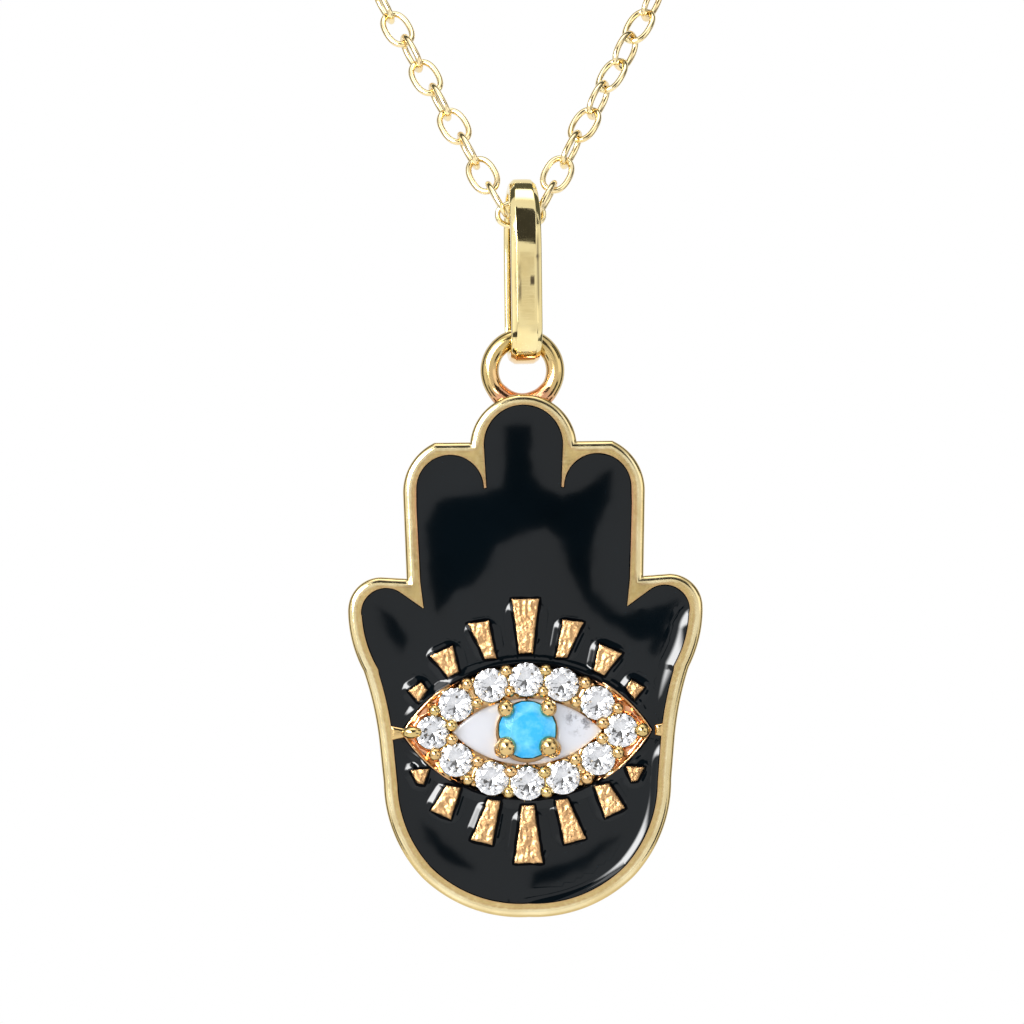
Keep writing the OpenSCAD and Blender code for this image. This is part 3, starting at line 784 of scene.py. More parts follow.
def make_lashes():
    """The lashes of wrinkled foil, with uneven edges and dark specks."""
    shape = Shape()
    draw = random.Random(7)
    uneven, ridged = 0.012, (0.9, 2.2, 4, 1.0, 2.0)
    for number, loop in enumerate(lash_loops):
        edge = resample(loop, 0.07)
        edge = edge + [nudge(draw, uneven) for _ in edge]
        area = Region(edge, [], (0.025,), 0.05, crowd=0.03)
        gap = area.gap_to(edge)[0]
        x, y = area.points.T
        wrinkle = noise_at(x * 4.2, y * 2.6, number * 3.7, noise.ridged_multi_fractal, *ridged) - 1.1
        fine = noise_at(x * 16, y * 16, number * 1.3)
        heights = LASH_TOP + 0.01 + 0.035 * wrinkle + 0.02 * fine - 0.05 * np.exp(-gap / 0.02)
        specks = noise_at(x * 11, y * 11, 5 + number * 2.1)
        shape.top(area, np.clip(heights, LASH_TOP - 0.12, LASH_TOP + 0.05), copper=0.25,
                  grime=np.clip(0.1 * (gap < 0.02) + 4 * (specks - 0.42), 0, 0.8))
        shape.wall(area.loops[0], PLATE_TOP, LASH_TOP - 0.065, copper=0.3)
        shape.bottom(Region(edge, [], (), 0.4), PLATE_TOP)
    shape.make("lashes", "hand", foil_gold, ["hand"])


# The raised eye

# How far the top sinks along its upper and lower edge
EDGE_SINK = 0.2


def white_field(side):
    """The outline of one white field, between the collar of the middle stone and the almond."""
    collar = CENTRE_RADIUS + 0.1
    points = np.vstack(almond(*WHITE_HALF, 0.08))
    points = points[(points[:, 0] * side > 0) & (np.hypot(*points.T) > collar + 0.02)]
    angle = np.arctan2(points[:, 1], points[:, 0] * side)
    order = np.argsort(side * angle)
    turn = np.linspace(angle[order[-1]], angle[order[0]], 16)
    inner = collar * np.column_stack([side * np.cos(turn), np.sin(turn)])
    return anticlockwise(tidy(np.vstack([points[order], inner])))


eye_loop = anticlockwise(tidy(np.vstack(almond(EYE_HALF_WIDTH, EYE_HALF_HEIGHT))))
white_loops = [white_field(-1), white_field(1)]


def over_middle(points):
    """One above and below the middle of the eye, falling to nothing towards its ends."""
    return smooth_step(np.abs(points[:, 0]), 3.3, 2.5)


def add_eye_top(shape, stone_loops, centre_loop):
    """The top of the almond, hollow between the stones and sunk along its upper and lower edge, with painted
    warm shade (coppery) in the hollows and at its edge, and painted dark shade by the stones towards the top
    and right, round the white fields, along the edge towards its ends and in the sunk edge.
    """
    area = Region(eye_loop, stone_loops + [centre_loop] + white_loops, (0.03, 0.06, 0.1, 0.14), 0.12)
    x, y = area.points.T
    edge_gap = area.gap_to(eye_loop)[0]
    stone_gap = area.gap_to(*stone_loops)[0]
    white_gap = area.gap_to(*white_loops)[0]
    ends = smooth_step(np.abs(x), 2.2, 3.2)
    hollow = smooth_step(edge_gap, 0.05, 0.14) * smooth_step(stone_gap, 0.0, 0.08)
    sunk = smooth_step(edge_gap, 0.24, 0.1) * over_middle(area.points)
    heights = EYE_TOP - (0.06 + 0.11 * ends) * hollow - 0.03 * np.exp(-edge_gap / 0.02) - EDGE_SINK * sunk
    # Painted warm shade in copper in the hollows and at the edge
    copper = hollow * (0.45 + 0.6 * ends) + 0.8 * np.exp(-edge_gap / 0.06)
    # Painted shade by the stones, stronger towards the top and right, and round the white fields
    crevice_shade = 0.6 * np.exp(-stone_gap / 0.07) * (1 - ends) * smooth_step(y + 0.6 * x, -0.5, 2.2)
    crevice_shade = np.maximum(crevice_shade, 0.55 * bell(white_gap, 0.16))
    # Painted shade along the edge towards the ends
    border_shade = 0.22 * np.exp(-edge_gap / 0.12) * ends
    # Painted shade also in the sunk edge
    grime = np.clip(crevice_shade + border_shade + 0.9 * sunk, 0, 0.95)
    shape.top(area, heights, copper=np.clip(copper, 0, 1), grime=grime)


def make_eye():
    shape = Shape()
    seat = STONE_RADIUS + 0.015
    wide = CENTRE_RADIUS + 0.03
    add_eye_top(shape, [circle(place, seat) for place in stone_places], circle(CENTRE_SHIFT, wide))
    # Painted warm shade in copper on the almond's side wall
    shape.wall(eye_loop, PLATE_TOP, EYE_TOP - 0.03 - EDGE_SINK * over_middle(eye_loop), copper=0.5)
    shape.bottom(Region(eye_loop, [], (), 0.8), PLATE_TOP)
    rows = [(0.02, GIRDLE_HEIGHT - 0.9 * STONE_RADIUS), (seat * 0.5, GIRDLE_HEIGHT - 0.52 * STONE_RADIUS),
            (seat - 0.02, GIRDLE_HEIGHT - 0.1), (seat, EYE_TOP - 0.02), (seat, EYE_TOP + 0.005)]
    # The stones' seats, with painted shade under the stones
    for place in stone_places:
        shape.lathe(rows, place, 40, copper=0.2, grime=0.15)
    # The middle stone's seat, with painted shade under it
    rows = [(0.02, CENTRE_GIRDLE_HEIGHT - 0.95 * CENTRE_RADIUS), (wide - 0.06, CENTRE_GIRDLE_HEIGHT - 0.12),
            (wide, CENTRE_GIRDLE_HEIGHT - 0.08), (wide, EYE_TOP)]
    shape.lathe(rows, CENTRE_SHIFT, 64, grime=0.5)
    # The white fields' walls, with painted warm shade
    for loop in white_loops:
        shape.wall(loop, FIELD_FLOOR, EYE_TOP, outward=False, copper=0.4)
        shape.top(Region(loop), FIELD_FLOOR)
    shape.make("eye", "hand", gold, ["hand"])


def bead_profile(radius, middle, foot, flare):
    """A ball on a foot that is flare times as wide."""
    rows = [(radius * flare, foot), (radius * (0.5 + 0.5 * flare), foot + 0.05)]
    rows.append((radius * 0.97, middle - 0.25 * radius))
    rows += [(radius * cos(a), middle + radius * sin(a)) for a in map(radians, (0, 14, 28, 42, 56, 70, 82))]
    return rows + [(0.004, middle + radius)]


def make_beads():
    """The beads between the stones, one at each end of the eye, and the claws on the middle stone."""
    shape = Shape()
    draw = random.Random(3)
    middle = EYE_TOP + 0.1
    for i in range(12):
        first = np.array(stone_places[i])
        second = np.array(stone_places[(i + 1) % 12])
        along = unit(second - first)
        out = np.array([-along[1], along[0]])
        for offset, foot in ((BEAD_OFFSET_OUT, ENAMEL_TOP + 0.05), (-BEAD_OFFSET_IN, FIELD_FLOOR)):
            size = BEAD_RADIUS * draw.uniform(0.93, 1.1)
            spot = (first + second) / 2 + out * offset + nudge(draw, 0.03)
            stretch = (draw.uniform(0.94, 1.08), draw.uniform(0.94, 1.08))
            profile = bead_profile(size, middle, foot, 1.25)
            shape.lathe(profile, spot, 24, stretch, copper=draw.uniform(0.0, 0.35))
    corner = EYE_HALF_WIDTH - 0.38
    shape.lathe(bead_profile(0.29, middle, ENAMEL_TOP, 1.1), (corner, 0), 24)
    shape.lathe(bead_profile(0.27, middle - 0.02, ENAMEL_TOP, 1.15), (-corner + 0.02, 0.02), 24, (1.45, 0.92))
    claw_top = EYE_TOP + 0.3
    for turn, size, rise in ((45, 0.33, 0), (135, 0.33, 0), (225, 0.39, 0.17), (315, 0.39, 0.17)):
        way = np.array([cos(radians(turn)), sin(radians(turn))])
        place = way * (CENTRE_RADIUS + 0.06) + CENTRE_SHIFT + [0, rise]
        shape.lathe(bead_profile(size, claw_top, FIELD_FLOOR, 0.85), place, 32, (1.0, 1.05), copper=0.12)
        if rise:
            # The lower claws reach down on a foot, with painted warm shade under them
            foot = bead_profile(size * 0.95, claw_top - 0.16, FIELD_FLOOR, 0.9)
            shape.lathe(foot, place * 1.14, 32, copper=0.3)
    shape.make("beads", "hand", gold, ["hand"])


# Enamel

lash_holes = [resample(loop, 0.07) for loop in lash_loops]
enamel_arcs = almond(EYE_HALF_WIDTH, EYE_HALF_HEIGHT - 0.13)
enamel_eye_loop = anticlockwise(tidy(np.vstack(enamel_arcs)))


def lash_gap(points):
    """A rounded distance from the nearest lash."""
    best = np.full(len(points), 1e9)
    for loop in lash_holes:
        core = grow(loop, 0.45)
        inset = nearest(core, [loop])[0].min()
        best = np.minimum(best, nearest(points, [core])[0] - inset)
    return np.maximum(best, 0)


def enamel_height(points):
    """The enamel climbs at the lashes, the eye and the right part of the rim, but not beside the bars."""
    x, y = points.T
    calm = 1 - smooth_step(np.abs(x), 3.6, 4.4) * smooth_step(np.abs(y), 1.3, 0.3)
    low = smooth_step(y, 4.9, 3.9)
    reach = 0.3 + 0.25 * low + 0.22 * smooth_step(y, 0, 2)
    at_side = np.maximum(smooth_step(x, 4.2, 4.9), smooth_step(y, 2, 0)) * smooth_step(x, -1, 2)
    at_rim = np.clip(1 - nearest(points, [inner_loop])[0] / reach, 0, 1) ** 3
    at_eye = smooth_step(nearest(points, [enamel_eye_loop])[0], 0.42, 0.08)
    at_lash = smooth_step(lash_gap(points), 0.36, 0.0)
    return ENAMEL_TOP + calm * (0.14 * low * at_side * at_rim + 0.12 * at_eye) + 0.09 * at_lash


def enamel_relief(points, ways):
    """Height and slope of the enamel. On an edge they are taken a hair inside it."""
    spots = points + 0.006 * ways
    step = 0.004
    slopes = [(enamel_height(spots + way) - enamel_height(spots - way)) / (2 * step)
              for way in (np.array([step, 0]), np.array([0, step]))]
    return enamel_height(spots), np.column_stack(slopes)


def make_enamel(name, side, node):
    """The black enamel over or under the bars."""
    places = np.flatnonzero(inner_loop[:, 1] * side > 0.02)
    rim_part = inner_loop[places]
    cut = np.flatnonzero(np.diff(places) > 1)
    if len(cut):
        rim_part = np.roll(rim_part, -(cut[0] + 1), axis=0)
    first, last = rim_part[0], rim_part[-1]
    arc_part = enamel_arcs[0 if side > 0 else 1]
    if dist(last, arc_part[0]) > dist(last, arc_part[-1]):
        arc_part = arc_part[::-1]
    outline = np.vstack([rim_part, [(copysign(waist_line, last[0]), 0)], arc_part,
                         [(copysign(waist_line, first[0]), 0)]])
    outline = anticlockwise(tidy(resample(outline, 0.12)))
    holes = [loop for loop in lash_holes if loop[:, 1].mean() * side > 0]
    area = Region(outline, holes, (0.02, 0.045, 0.075, 0.11, 0.15, 0.2, 0.26, 0.34, 0.44), 0.19)
    foot = PLATE_TOP + SEAT_GAP
    shape = Shape()
    shape.top(area, *enamel_relief(area.points, area.edge_ways))
    shape.bottom(Region(outline, holes, (), 0.8), foot)
    for number, (loop, ways) in enumerate(zip(area.loops, area.ways)):
        shape.wall(loop, foot, enamel_relief(loop, ways)[0], outward=number == 0)
    shape.make(name, "hand", black_enamel, [node])


def make_enamel_shade_lines():
    """A painted shade line: a deep black strip, almost without gloss, laid on the enamel where it meets the
    metal, in place of the dark reflection there.
    """
    shape = Shape()
    draw = random.Random(17)
    edges = [(loop, -1, 0.11) for loop in lash_holes] + [(enamel_eye_loop, -1, 0.1), (inner_loop, 1, 0.045)]
    for loop, side, width in edges:
        loop = anticlockwise(loop)
        ways = corner_normals(loop) * side
        x, y = loop.T * 2.3
        reach = width * (1 + 0.45 * noise_at(x, y, draw.uniform(0, 10)))
        corners, normals = [], []
        for share, over in ((0.0, 0.008), (0.35, 0.008), (0.7, 0.007), (1.0, -0.004)):
            line = loop + share * reach[:, None] * ways
            heights, slopes = enamel_relief(line, ways if share == 0 else 0 * ways)
            corners.append(lift(line, heights + over))
            normals.append(unit(lift(-slopes, 1)))
        faces = strip_faces(len(loop), len(corners))
        shape.add(np.vstack(corners), faces if side > 0 else faces[:, ::-1], np.vstack(normals))
    shape.make("enamel_shade_lines", "hand", shade_line_enamel, ["enamel_upper", "enamel_lower"])


def make_white(name, loop, node):
    area = Region(loop, [], (0.03, 0.07, 0.12), 0.12)
    gap, way = area.gap_to(loop)
    fade = np.exp(-gap / 0.08)
    foot = FIELD_FLOOR + SEAT_GAP
    shape = Shape()
    shape.top(area, WHITE_TOP - 0.04 * fade, (0.5 * fade)[:, None] * way)
    shape.wall(area.loops[0], foot, WHITE_TOP - 0.04)
    shape.bottom(area, foot)
    shape.make(name, "hand", white_enamel, [node])


# Stones

def brilliant(radius, place, height, turn):
    """A round brilliant: table, star facets, kites, girdle and pavilion, as corners, triangles and quads."""
    def ring(count, offset, reach, up):
        around = np.radians(np.arange(count) * 360 / count + offset + turn)
        return lift(reach * np.column_stack([np.cos(around), np.sin(around)]), up)

    rings = [ring(8, 0, 0.56, 0.3), ring(8, 22.5, 0.8, 0.186), ring(16, 0, 1.0, 0.02),
             ring(16, 0, 1.0, -0.02), ring(8, 22.5, 0.26, -0.628)]
    corners = np.vstack(rings + [[(0, 0, -0.82), (0, 0, 0.3)]]) * radius + [*place, height]
    table, star, crown, girdle, low, tip, top = 0, 8, 16, 32, 48, 56, 57
    triangles, quads = [], []
    for k in range(8):
        after, before = (k + 1) % 8, (k - 1) % 8
        near, between, far = 2 * k, 2 * k + 1, (2 * k + 2) % 16
        triangles += [(top, table + k, table + after), (table + k, star + k, table + after),
                      (star + k, crown + near, crown + between), (star + k, crown + between, crown + far),
                      (low + k, girdle + between, girdle + near), (low + k, girdle + far, girdle + between)]
        quads += [(table + k, star + before, crown + near, star + k),
                  (tip, low + k, girdle + near, low + before)]
    for k in range(16):
        after = (k + 1) % 16
        quads.append((crown + k, girdle + k, girdle + after, crown + after))
    return corners, np.array(triangles), np.array(quads)


def make_stone(name, place, radius, height, turn, material):
    shape = Shape()
    shape.add_cut(*brilliant(radius, place, height, turn))
    shape.make(name, "hand", material, [name])


# The bail

BOW_START = 18.5
BAIL_DEPTH = 1.575
# Half of the wall's section from the middle of its outer face, as [across, depth]
BAIL_SECTION = [(0.05, 0.0), (0.1, 0.0), (0.14, 0.001), (0.2, 0.002), (0.26, 0.004), (0.3, 0.005),
                (0.34, 0.007), (0.385, 0.012), (0.4, 0.02), (0.415, 0.03), (0.43, 0.04), (0.5, 0.085),
                (0.56, 0.128), (0.58, 0.145), (0.592, 0.17), (0.595, 0.22), (0.595, 0.34), (0.588, 0.385),
                (0.565, 0.42), (0.52, 0.442), (0.4, 0.45), (0.2, 0.45)]
# Dark marks on the bail: the dark block, the line, the dot and the brown patch, then the ragged mark at the
# left, each with its strength, its place and half width across with a power, and the same up
BAIL_DARK_MARKS = [(0.95, 0.2, 0.085, 8, 17.33, 0.17, 8), (0.8, 0.415, 0.03, 2, 17.75, 1.35, 8),
               (1.0, 0.42, 0.06, 2, 18.25, 0.07, 2), (0.3, 0.25, 0.16, 2, 15.45, 0.1, 2)]
BAIL_LEFT_MARK = (1.0, -0.29, 0.05, 2, 17.2, 0.7, 4)


def bail_line(radius, low_middle, crest):
    """Front side up, over the long curved top, down the back and round the foot, as [depth, up]."""
    run = np.arange(24) / 24 * (BOW_START - low_middle)
    over = np.linspace(0, pi, 49)[:-1]
    under = np.linspace(0, pi, 33)[:-1]
    depth = [np.full(24, -radius), -radius * np.cos(over), np.full(24, radius), radius * np.cos(under)]
    up = [low_middle + run, BOW_START + (crest - BOW_START) * np.sin(over), BOW_START - run,
          low_middle - radius * np.sin(under)]
    return np.column_stack([np.concatenate(depth), np.concatenate(up)])


def dark_mark(x, z, strength, across, half_width, power, up, half_height, power_up):
    return strength * np.exp(-(((x - across) / half_width) ** power + ((z - up) / half_height) ** power_up))


def make_bail():
    shape = Shape()
    hole_foot = RING_HEIGHT + sqrt((RING_LINE - RING_WIRE - SEAT_GAP) ** 2 - BAIL_HALF ** 2)
    foot = hole_foot - BAIL_FOOT_WALL
    top = foot + BAIL_HEIGHT
    inner_radius = BAIL_DEPTH - BAIL_WALL
    outer = bail_line(BAIL_DEPTH, foot + BAIL_DEPTH, top)
    inner = bail_line(inner_radius, hole_foot + inner_radius, top - BAIL_TOP_WALL)
    left = [(-across, depth) for across, depth in BAIL_SECTION[::-1]]
    across, depth = np.array([(0.0, 0.0)] + BAIL_SECTION + [(0.0, BAIL_WALL)] + left).T
    spots = outer[:, None] + ((inner - outer) / BAIL_WALL)[:, None] * depth[:, None]
    corners = np.dstack([np.broadcast_to(across, spots.shape[:2]), spots]).reshape(-1, 3)
    up = corners[:, 2]
    corners[:, 0] *= 1 - 0.14 * smooth_step(up, 20.0, 21.3) - 0.05 * smooth_step(up, 15.2, 14.2)
    x, y, z = corners.T
    ragged = 0.6 + noise_at(x * 9, z * 3.1, 2.0)
    grime = sum(dark_mark(x, z, *row_values) for row_values in BAIL_DARK_MARKS)
    grime = grime + dark_mark(x, z, *BAIL_LEFT_MARK) * np.clip(ragged, 0, 1)
    grime = grime + 0.4 * bell(x + 0.4 + 0.03 * np.sin(3 * z), 0.022) * np.clip(ragged + 0.2, 0, 1)
    grime = grime * smooth_step(-y, 1.2, 1.5)
    # Painted warm shade in copper at the bail's foot
    shape.add(corners, tube_faces(len(outer), len(across)), copper=0.4 * smooth_step(z, 14.75, 14.3),
              grime=np.clip(grime, 0, 0.92))
    shape.make("bail_loop", "bail", bail_gold, ["bail"], turn_matrix(z=BAIL_TURN),
               np.array([BAIL_SHIFT, HANG_Y, EYE_Z]))


# Chain and clasp

def on_slope(across, up):
    """A place or way in the sloping plane that the chain lies in."""
    return np.array([across, up * cos(radians(CHAIN_RISE)), up * sin(radians(CHAIN_RISE))])


HALF_ANGLE = atan(tan(radians(STRAND_SPREAD)) * sin(radians(CHAIN_RISE)))
STRAND_WAY = on_slope(sin(HALF_ANGLE), cos(HALF_ANGLE))
STRAND_TILT = degrees(asin(STRAND_WAY[1]))
STRAIGHT = NECK_RADIUS / tan(HALF_ANGLE)
NECK_CENTRE = CLASP_RADIUS - NECK_RADIUS
APEX = NECK_CENTRE - NECK_RADIUS / sin(HALF_ANGLE)


def link_form(half_width, half_length, wire, around, sides):
    """An oval link's corners, faces and normals, standing on its end in the plane of X and Z."""
    def oval(values):
        return np.sign(values) * np.abs(values) ** 0.86

    turn = np.arange(around) / around * 2 * pi
    level = np.zeros(around)
    spine = np.column_stack([half_width * oval(np.cos(turn)), level, half_length * oval(np.sin(turn))])
    ahead = np.roll(spine, -1, axis=0) - np.roll(spine, 1, axis=0)
    way = unit(np.column_stack([ahead[:, 2], level, -ahead[:, 0]]))
    section = np.arange(sides)[:, None] / sides * 2 * pi
    normals = (way[:, None, :] * np.cos(section) + np.array([0, 1, 0]) * np.sin(section)).reshape(-1, 3)
    corners = np.repeat(spine, sides, axis=0) + normals * wire
    return corners, tube_faces(around, sides), normals


def add_link(shape, form, matrix, place, **tints):
    corners, faces, normals = form
    shape.add(corners @ matrix.T + place, faces, normals @ matrix.T, **tints)


def make_chain_front():
    """The middle link in the bail and the links that the photo shows, turned as they are there."""
    shape = Shape()
    draw = random.Random(11)
    middle_drop = 0.1
    clear_of_bail = 0.1
    joint = np.array([JOINT_X, JOINT_Y, JOINT_Z])
    middle = link_form(LINK_SIDE, BAIL_HALF - 0.175 + LINK_SIDE, LINK_WIRE, 40, 14)
    add_link(shape, middle, turn_matrix(y=90), np.array([0, JOINT_Y, JOINT_Z - middle_drop]))
    form = link_form(*OVAL_LINK, 40, 14)
    for side in (1, -1):
        for k in range(1, FRONT_LINKS + 1):
            place = (joint + (k - 0.5) * LINK_PITCH * STRAND_WAY) * [side, 1, 1]
            if side > 0 and k == 1:
                place[0] += clear_of_bail
            lean = 14 if side < 0 else -24 - 14 * exp(-((k - 7) / 2.5) ** 2)
            lean *= min(1, k / 4)
            spin = turn_matrix(z=(90 if k % 2 else 0) + lean + draw.uniform(-5, 5))
            matrix = turn_matrix(y=side * STRAND_SPREAD) @ turn_matrix(x=-STRAND_TILT) @ spin
            add_link(shape, form, matrix, place, copper=draw.uniform(0, 0.12))
    shape.make("chain_links", "chain", chain_gold, ["chain_front"], UPRIGHT, np.zeros(3))


def chain_line(along):
    """Place and way on the chain's right half, so far from the point where the strands would meet."""
    if along < STRAIGHT:
        way = (sin(HALF_ANGLE), cos(HALF_ANGLE))
        return on_slope(along * way[0], APEX + along * way[1]), on_slope(*way)
    turn = (along - STRAIGHT) / NECK_RADIUS - HALF_ANGLE
    place = on_slope(NECK_RADIUS * cos(turn), NECK_CENTRE + NECK_RADIUS * sin(turn))
    return place, on_slope(-sin(turn), cos(turn))


def make_chain_back():
    """Links where the solid is plain: up each strand, then round the neck to the clasp."""
    shape = Shape()
    draw = random.Random(5)
    form = link_form(*OVAL_LINK, 18, 8)
    first = JOINT_X / STRAND_WAY[0]
    total = STRAIGHT + NECK_RADIUS * (pi / 2 + HALF_ANGLE) - (CLASP_HALF - 0.3)
    normal = np.cross([1, 0, 0], on_slope(0, 1))
    lean = radians(14.1)
    for side in (1, -1):
        for k in range(FRONT_LINKS + 1, int((total - first) / LINK_PITCH) + 1):
            place, ahead = chain_line(first + (k - 0.5) * LINK_PITCH) * np.array([side, 1, 1])
            across = np.cross(ahead, normal)
            spin = side * lean + radians((90 if k % 2 else 0) + draw.uniform(-5, 5))
            axis_x = across * cos(spin) + normal * sin(spin)
            add_link(shape, form, np.column_stack([axis_x, np.cross(ahead, axis_x), ahead]), place)
    shape.make("chain_links_back", "chain", chain_gold, ["chain_back"], UPRIGHT, np.zeros(3))


def make_clasp():
    """A plain barrel with a cone and a groove at each end and a seam in the middle."""
    half = [(0.02, -3.55), (0.62, -3.6), (0.7, -3.98), (0.8, -CLASP_HALF), (0.86, -3.95), (0.9, -3.86),
            (1.16, -3.06), (CLASP_RADIUS, -2.95), (CLASP_RADIUS, -2.7), (1.15, -2.64), (1.15, -2.56),
            (CLASP_RADIUS, -2.5), (CLASP_RADIUS, -0.12), (1.16, -0.06)]
    shape = Shape()
    shape.lathe(half + [(radius, -along) for radius, along in half[::-1]], (0, 0), 48)
    slope = turn_matrix(x=CHAIN_RISE)
    shape.make("clasp_barrel", "chain", chain_gold, ["clasp"], slope @ turn_matrix(y=90),
               slope @ np.array([0, CLASP_RADIUS, 0]))


# Floor, cards, light and camera, in metres. Pixels are those of the 1024 pixel frame.

FRAME_MIDDLE = 512
PIXELS_PER_MM = 26
LEAN = 0.7
CAMERA_DISTANCE = 0.38
FRAME_WIDTH = 0.0394
SENSOR_WIDTH = 36.0
AIM = Vector((-0.47, HANG_Y - 0.8, EYE_Z + 8.45)) * MM
CARD_DISTANCE = 0.3
NEAR_CARD_DISTANCE = 0.146
LAMP_DISTANCE = 0.6
FLOOR_HEIGHT = -0.32
FLOOR_REACH = 1.5
WHITE = (1, 1, 1, 1)
CORNER_SIGNS = ((-1, -1), (1, -1), (1, 1), (-1, 1))
target = Vector((0, HANG_Y, EYE_Z)) * MM

ROOM_SHADOW = [(506, 425), (531, 425), (532, 470), (541, 486), (562, 495), (578, 492), (597, 478), (612, 466),
               (610, 500), (597, 526), (592, 560), (593, 590), (604, 604), (622, 614), (645, 612), (680, 600),
               (660, 636), (636, 640), (606, 622), (585, 600), (570, 572), (560, 540), (545, 527), (520, 536),
               (498, 545), (488, 566), (476, 580), (455, 592), (437, 614), (428, 566), (426, 530), (438, 500),
               (470, 494), (500, 488), (506, 470)]
THUMB_SHADOW = [(376, 606), (394, 620), (408, 640), (402, 652), (388, 636)]
RIGHT_THUMB_SHADOW = [(645, 626), (668, 628), (664, 642), (655, 656), (649, 654), (652, 640)]
LEFT_PALM_SHADOW = [(421, 820), (440, 838), (458, 853), (478, 873), (456, 866), (436, 851), (426, 836)]
RIGHT_PALM_SHADOW = [(529, 888), (560, 880), (592, 862), (622, 832), (604, 842), (580, 858), (552, 867),
                     (532, 870)]
BAIL_SHADE = [(330, 225), (730, 225), (730, 304), (330, 303)]
BLACK_CARDS = (ROOM_SHADOW, THUMB_SHADOW, RIGHT_THUMB_SHADOW, LEFT_PALM_SHADOW, RIGHT_PALM_SHADOW)


def glow_material(name, colour, strength):
    """A plain emission. Gives the material, its tree and the emission node."""
    material = bpy.data.materials.new(name)
    material.use_nodes = True
    tree = material.node_tree
    glow = tree.nodes.new("ShaderNodeEmission")
    glow.inputs["Color"].default_value = colour
    glow.inputs["Strength"].default_value = strength
    tree.links.new(glow.outputs[0], tree.nodes["Material Output"].inputs["Surface"])
    return material, tree, glow


def card(name, corners, strength, colour=WHITE, faces=None):
    """A studio card that shows only in reflections. Gives the piece, its tree and its emission node."""
    material, tree, glow = glow_material(name, colour, strength)
    piece = add_mesh(name, corners, faces or [tuple(range(len(corners)))], material)
    piece.visible_camera = False
    piece.visible_diffuse = False
    piece.visible_shadow = False
    piece.visible_volume_scatter = False
    return piece, tree, glow


def direction(azimuth, polar):
    """The way from the eye at an angle off the front (polar) and round it (azimuth, where 90 is up)."""
    a, p = radians(azimuth), radians(polar)
    return Vector((sin(p) * cos(a), -cos(p), sin(p) * sin(a)))


def card_corners(azimuth, polar, half_width, half_height):
    out = direction(azimuth, polar)
    right = Vector((-sin(radians(azimuth)), 0, cos(radians(azimuth))))
    other = out.cross(right)
    middle = target + out * CARD_DISTANCE
    return [middle + right * half_width * i + other * half_height * j for i, j in CORNER_SIGNS]


def soft_card(name, azimuth, polar, half_width, half_height, strength):
    """A card with a glow that fades to its edges."""
    corners = card_corners(azimuth, polar, half_width, half_height)
    count = 24
    places, faces, shares = [], [], []
    for i in range(count + 1):
        low = corners[0].lerp(corners[1], i / count)
        high = corners[3].lerp(corners[2], i / count)
        for j in range(count + 1):
            places.append(low.lerp(high, j / count))
            fades = [float(smooth_step(1 - abs(2 * w / count - 1), 0.0, 0.6)) for w in (i, j)]
            shares.append(fades[0] * fades[1])
            if i < count and j < count:
                k = i * (count + 1) + j
                faces.append((k, k + 1, k + count + 2, k + count + 1))
    piece, tree, glow = card(name, places, strength, faces=faces)
    layer = piece.data.attributes.new("glow", "FLOAT", "POINT")
    layer.data.foreach_set("value", shares)
    feed(tree, glow.inputs["Strength"], ramp(tree, attribute(tree, "glow"), 0.0, 1.0, 1.0, strength))


def front_outline(places, turn=0.0):
    """The outline of a card before the hand, from the pixels where a surface turned by so many degrees
    reflects it."""
    spread = 1 + NEAR_CARD_DISTANCE / CAMERA_DISTANCE
    shift = NEAR_CARD_DISTANCE * tan(radians(2 * turn))
    lean = radians(LEAN)
    corners = []
    for px, py in places:
        across, up = (px - FRAME_MIDDLE) / PIXELS_PER_MM * MM, (FRAME_MIDDLE - py) / PIXELS_PER_MM * MM
        x = across * cos(lean) + up * sin(lean)
        z = up * cos(lean) - across * sin(lean)
        corners.append((AIM.x + x * spread + shift, HANG_Y * MM - NEAR_CARD_DISTANCE, AIM.z + z * spread))
    return corners


def belt_card():
    """Dark panels all round the sides, which edge the gold with dark lines."""
    steps = 24
    corners = []
    for i in range(steps):
        turn = 2 * pi * i / steps
        for reach, depth in ((0.3, -0.01), (0.28, 0.13)):
            corners.append(target + Vector((reach * cos(turn), depth, 0.01 + reach * sin(turn))))
    faces = []
    for i in range(steps):
        a, b = 2 * i, 2 * ((i + 1) % steps)
        faces.append((a, b, b + 1, a + 1))
    card("belt_card", corners, 0.12, (0.9, 0.95, 0.8, 1), faces)


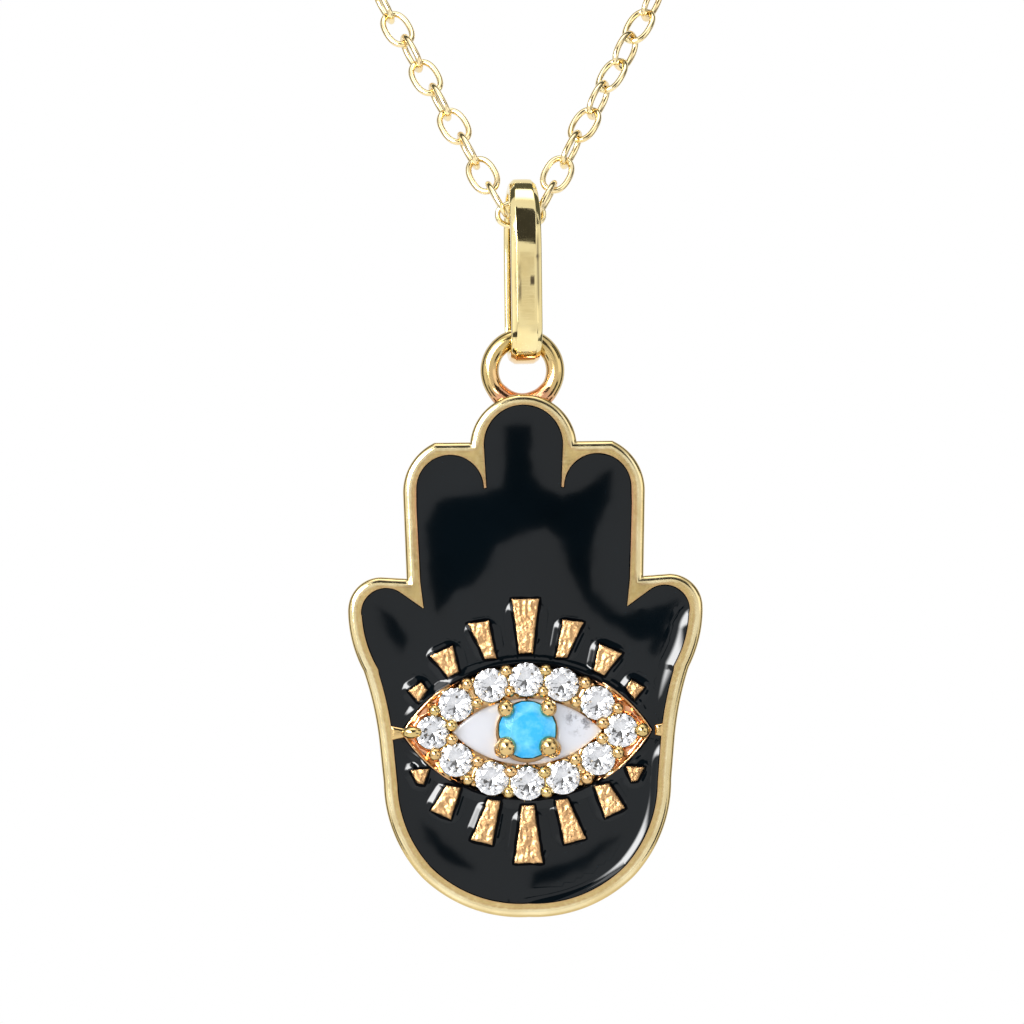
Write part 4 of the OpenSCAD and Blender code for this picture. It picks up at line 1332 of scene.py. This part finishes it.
def make_stage():
    paint = node_material("floor", Base_Color=(0.99, 0.99, 0.99, 1), Roughness=0.8)[0]
    corners = [(x * FLOOR_REACH, y * FLOOR_REACH, FLOOR_HEIGHT) for x, y in CORNER_SIGNS]
    floor = add_mesh("floor", corners, [(0, 1, 2, 3)], paint)
    soft_card("soft_card_left", 148, 38, 0.066, 0.14, 36.0)
    soft_card("side_card_left", 180, 64, 0.12, 0.07, 1.3)
    soft_card("over_card", 90, 76, 0.16, 0.08, 3.0)
    for number, outline in enumerate(BLACK_CARDS):
        card(f"black_card_{number}", front_outline(outline), 0.0)
    card("bail_shade", front_outline(BAIL_SHADE, BAIL_TURN), 0.72, (1, 0.95, 0.88, 1))
    card("dark_card_top", card_corners(78, 32, 0.11, 0.095), 0.05)
    card("dark_card_right", card_corners(335, 52, 0.05, 0.07), 0.06)
    card("dark_card_high_right", card_corners(32, 76, 0.06, 0.05), 0.05)
    card("dark_card_left", card_corners(205, 60, 0.03, 0.06), 0.06)
    card("dark_card_low", card_corners(275, 50, 0.12, 0.03), 0.06)
    belt_card()
    world = bpy.data.worlds.new("studio")
    bpy.context.scene.world = world
    world.use_nodes = True
    world.node_tree.nodes["Background"].inputs["Color"].default_value = WHITE
    world.node_tree.nodes["Background"].inputs["Strength"].default_value = 1.0


def make_lamp(name, azimuth, polar, power, size):
    lamp = bpy.data.lights.new(name, "AREA")
    lamp.energy = power
    lamp.size = size
    light = add_object(name, lamp)
    light.location = target + direction(azimuth, polar) * LAMP_DISTANCE
    light.rotation_euler = (target - light.location).to_track_quat("-Z", "Y").to_euler()


def make_camera():
    camera_data = bpy.data.cameras.new("camera")
    camera_data.sensor_width = SENSOR_WIDTH
    camera_data.lens = SENSOR_WIDTH * CAMERA_DISTANCE / FRAME_WIDTH
    camera_data.clip_start = 0.01
    camera = add_object("camera", camera_data)
    turn = Matrix.Rotation(radians(90), 4, "X") @ Matrix.Rotation(radians(-LEAN), 4, "Z")
    camera.matrix_world = Matrix.Translation(AIM - Vector((0, CAMERA_DISTANCE, 0))) @ turn
    bpy.context.scene.camera = camera


make_rim()
make_ring()
make_lashes()
make_eye()
make_beads()
make_enamel("enamel_top_half", 1, "enamel_upper")
make_enamel("enamel_foot_half", -1, "enamel_lower")
make_enamel_shade_lines()
make_white("white_left", white_loops[0], "enamel_white_left")
make_white("white_right", white_loops[1], "enamel_white_right")
for number, place in enumerate(stone_places):
    name = f"stone_{number + 1:02d}"
    make_stone(name, place, STONE_RADIUS, GIRDLE_HEIGHT, 17.0 * number, clear_stone)
make_stone("centre_stone", CENTRE_SHIFT, CENTRE_RADIUS, CENTRE_GIRDLE_HEIGHT, 10.0, blue_stone)
make_bail()
make_chain_front()
make_chain_back()
make_clasp()
make_stage()
make_lamp("key", 140, 50, 1.0, 0.3)
make_lamp("fill", 20, 60, 0.3, 0.4)
make_camera()
bpy.context.scene.view_settings.view_transform = "Standard"
bpy.context.view_layer.update()
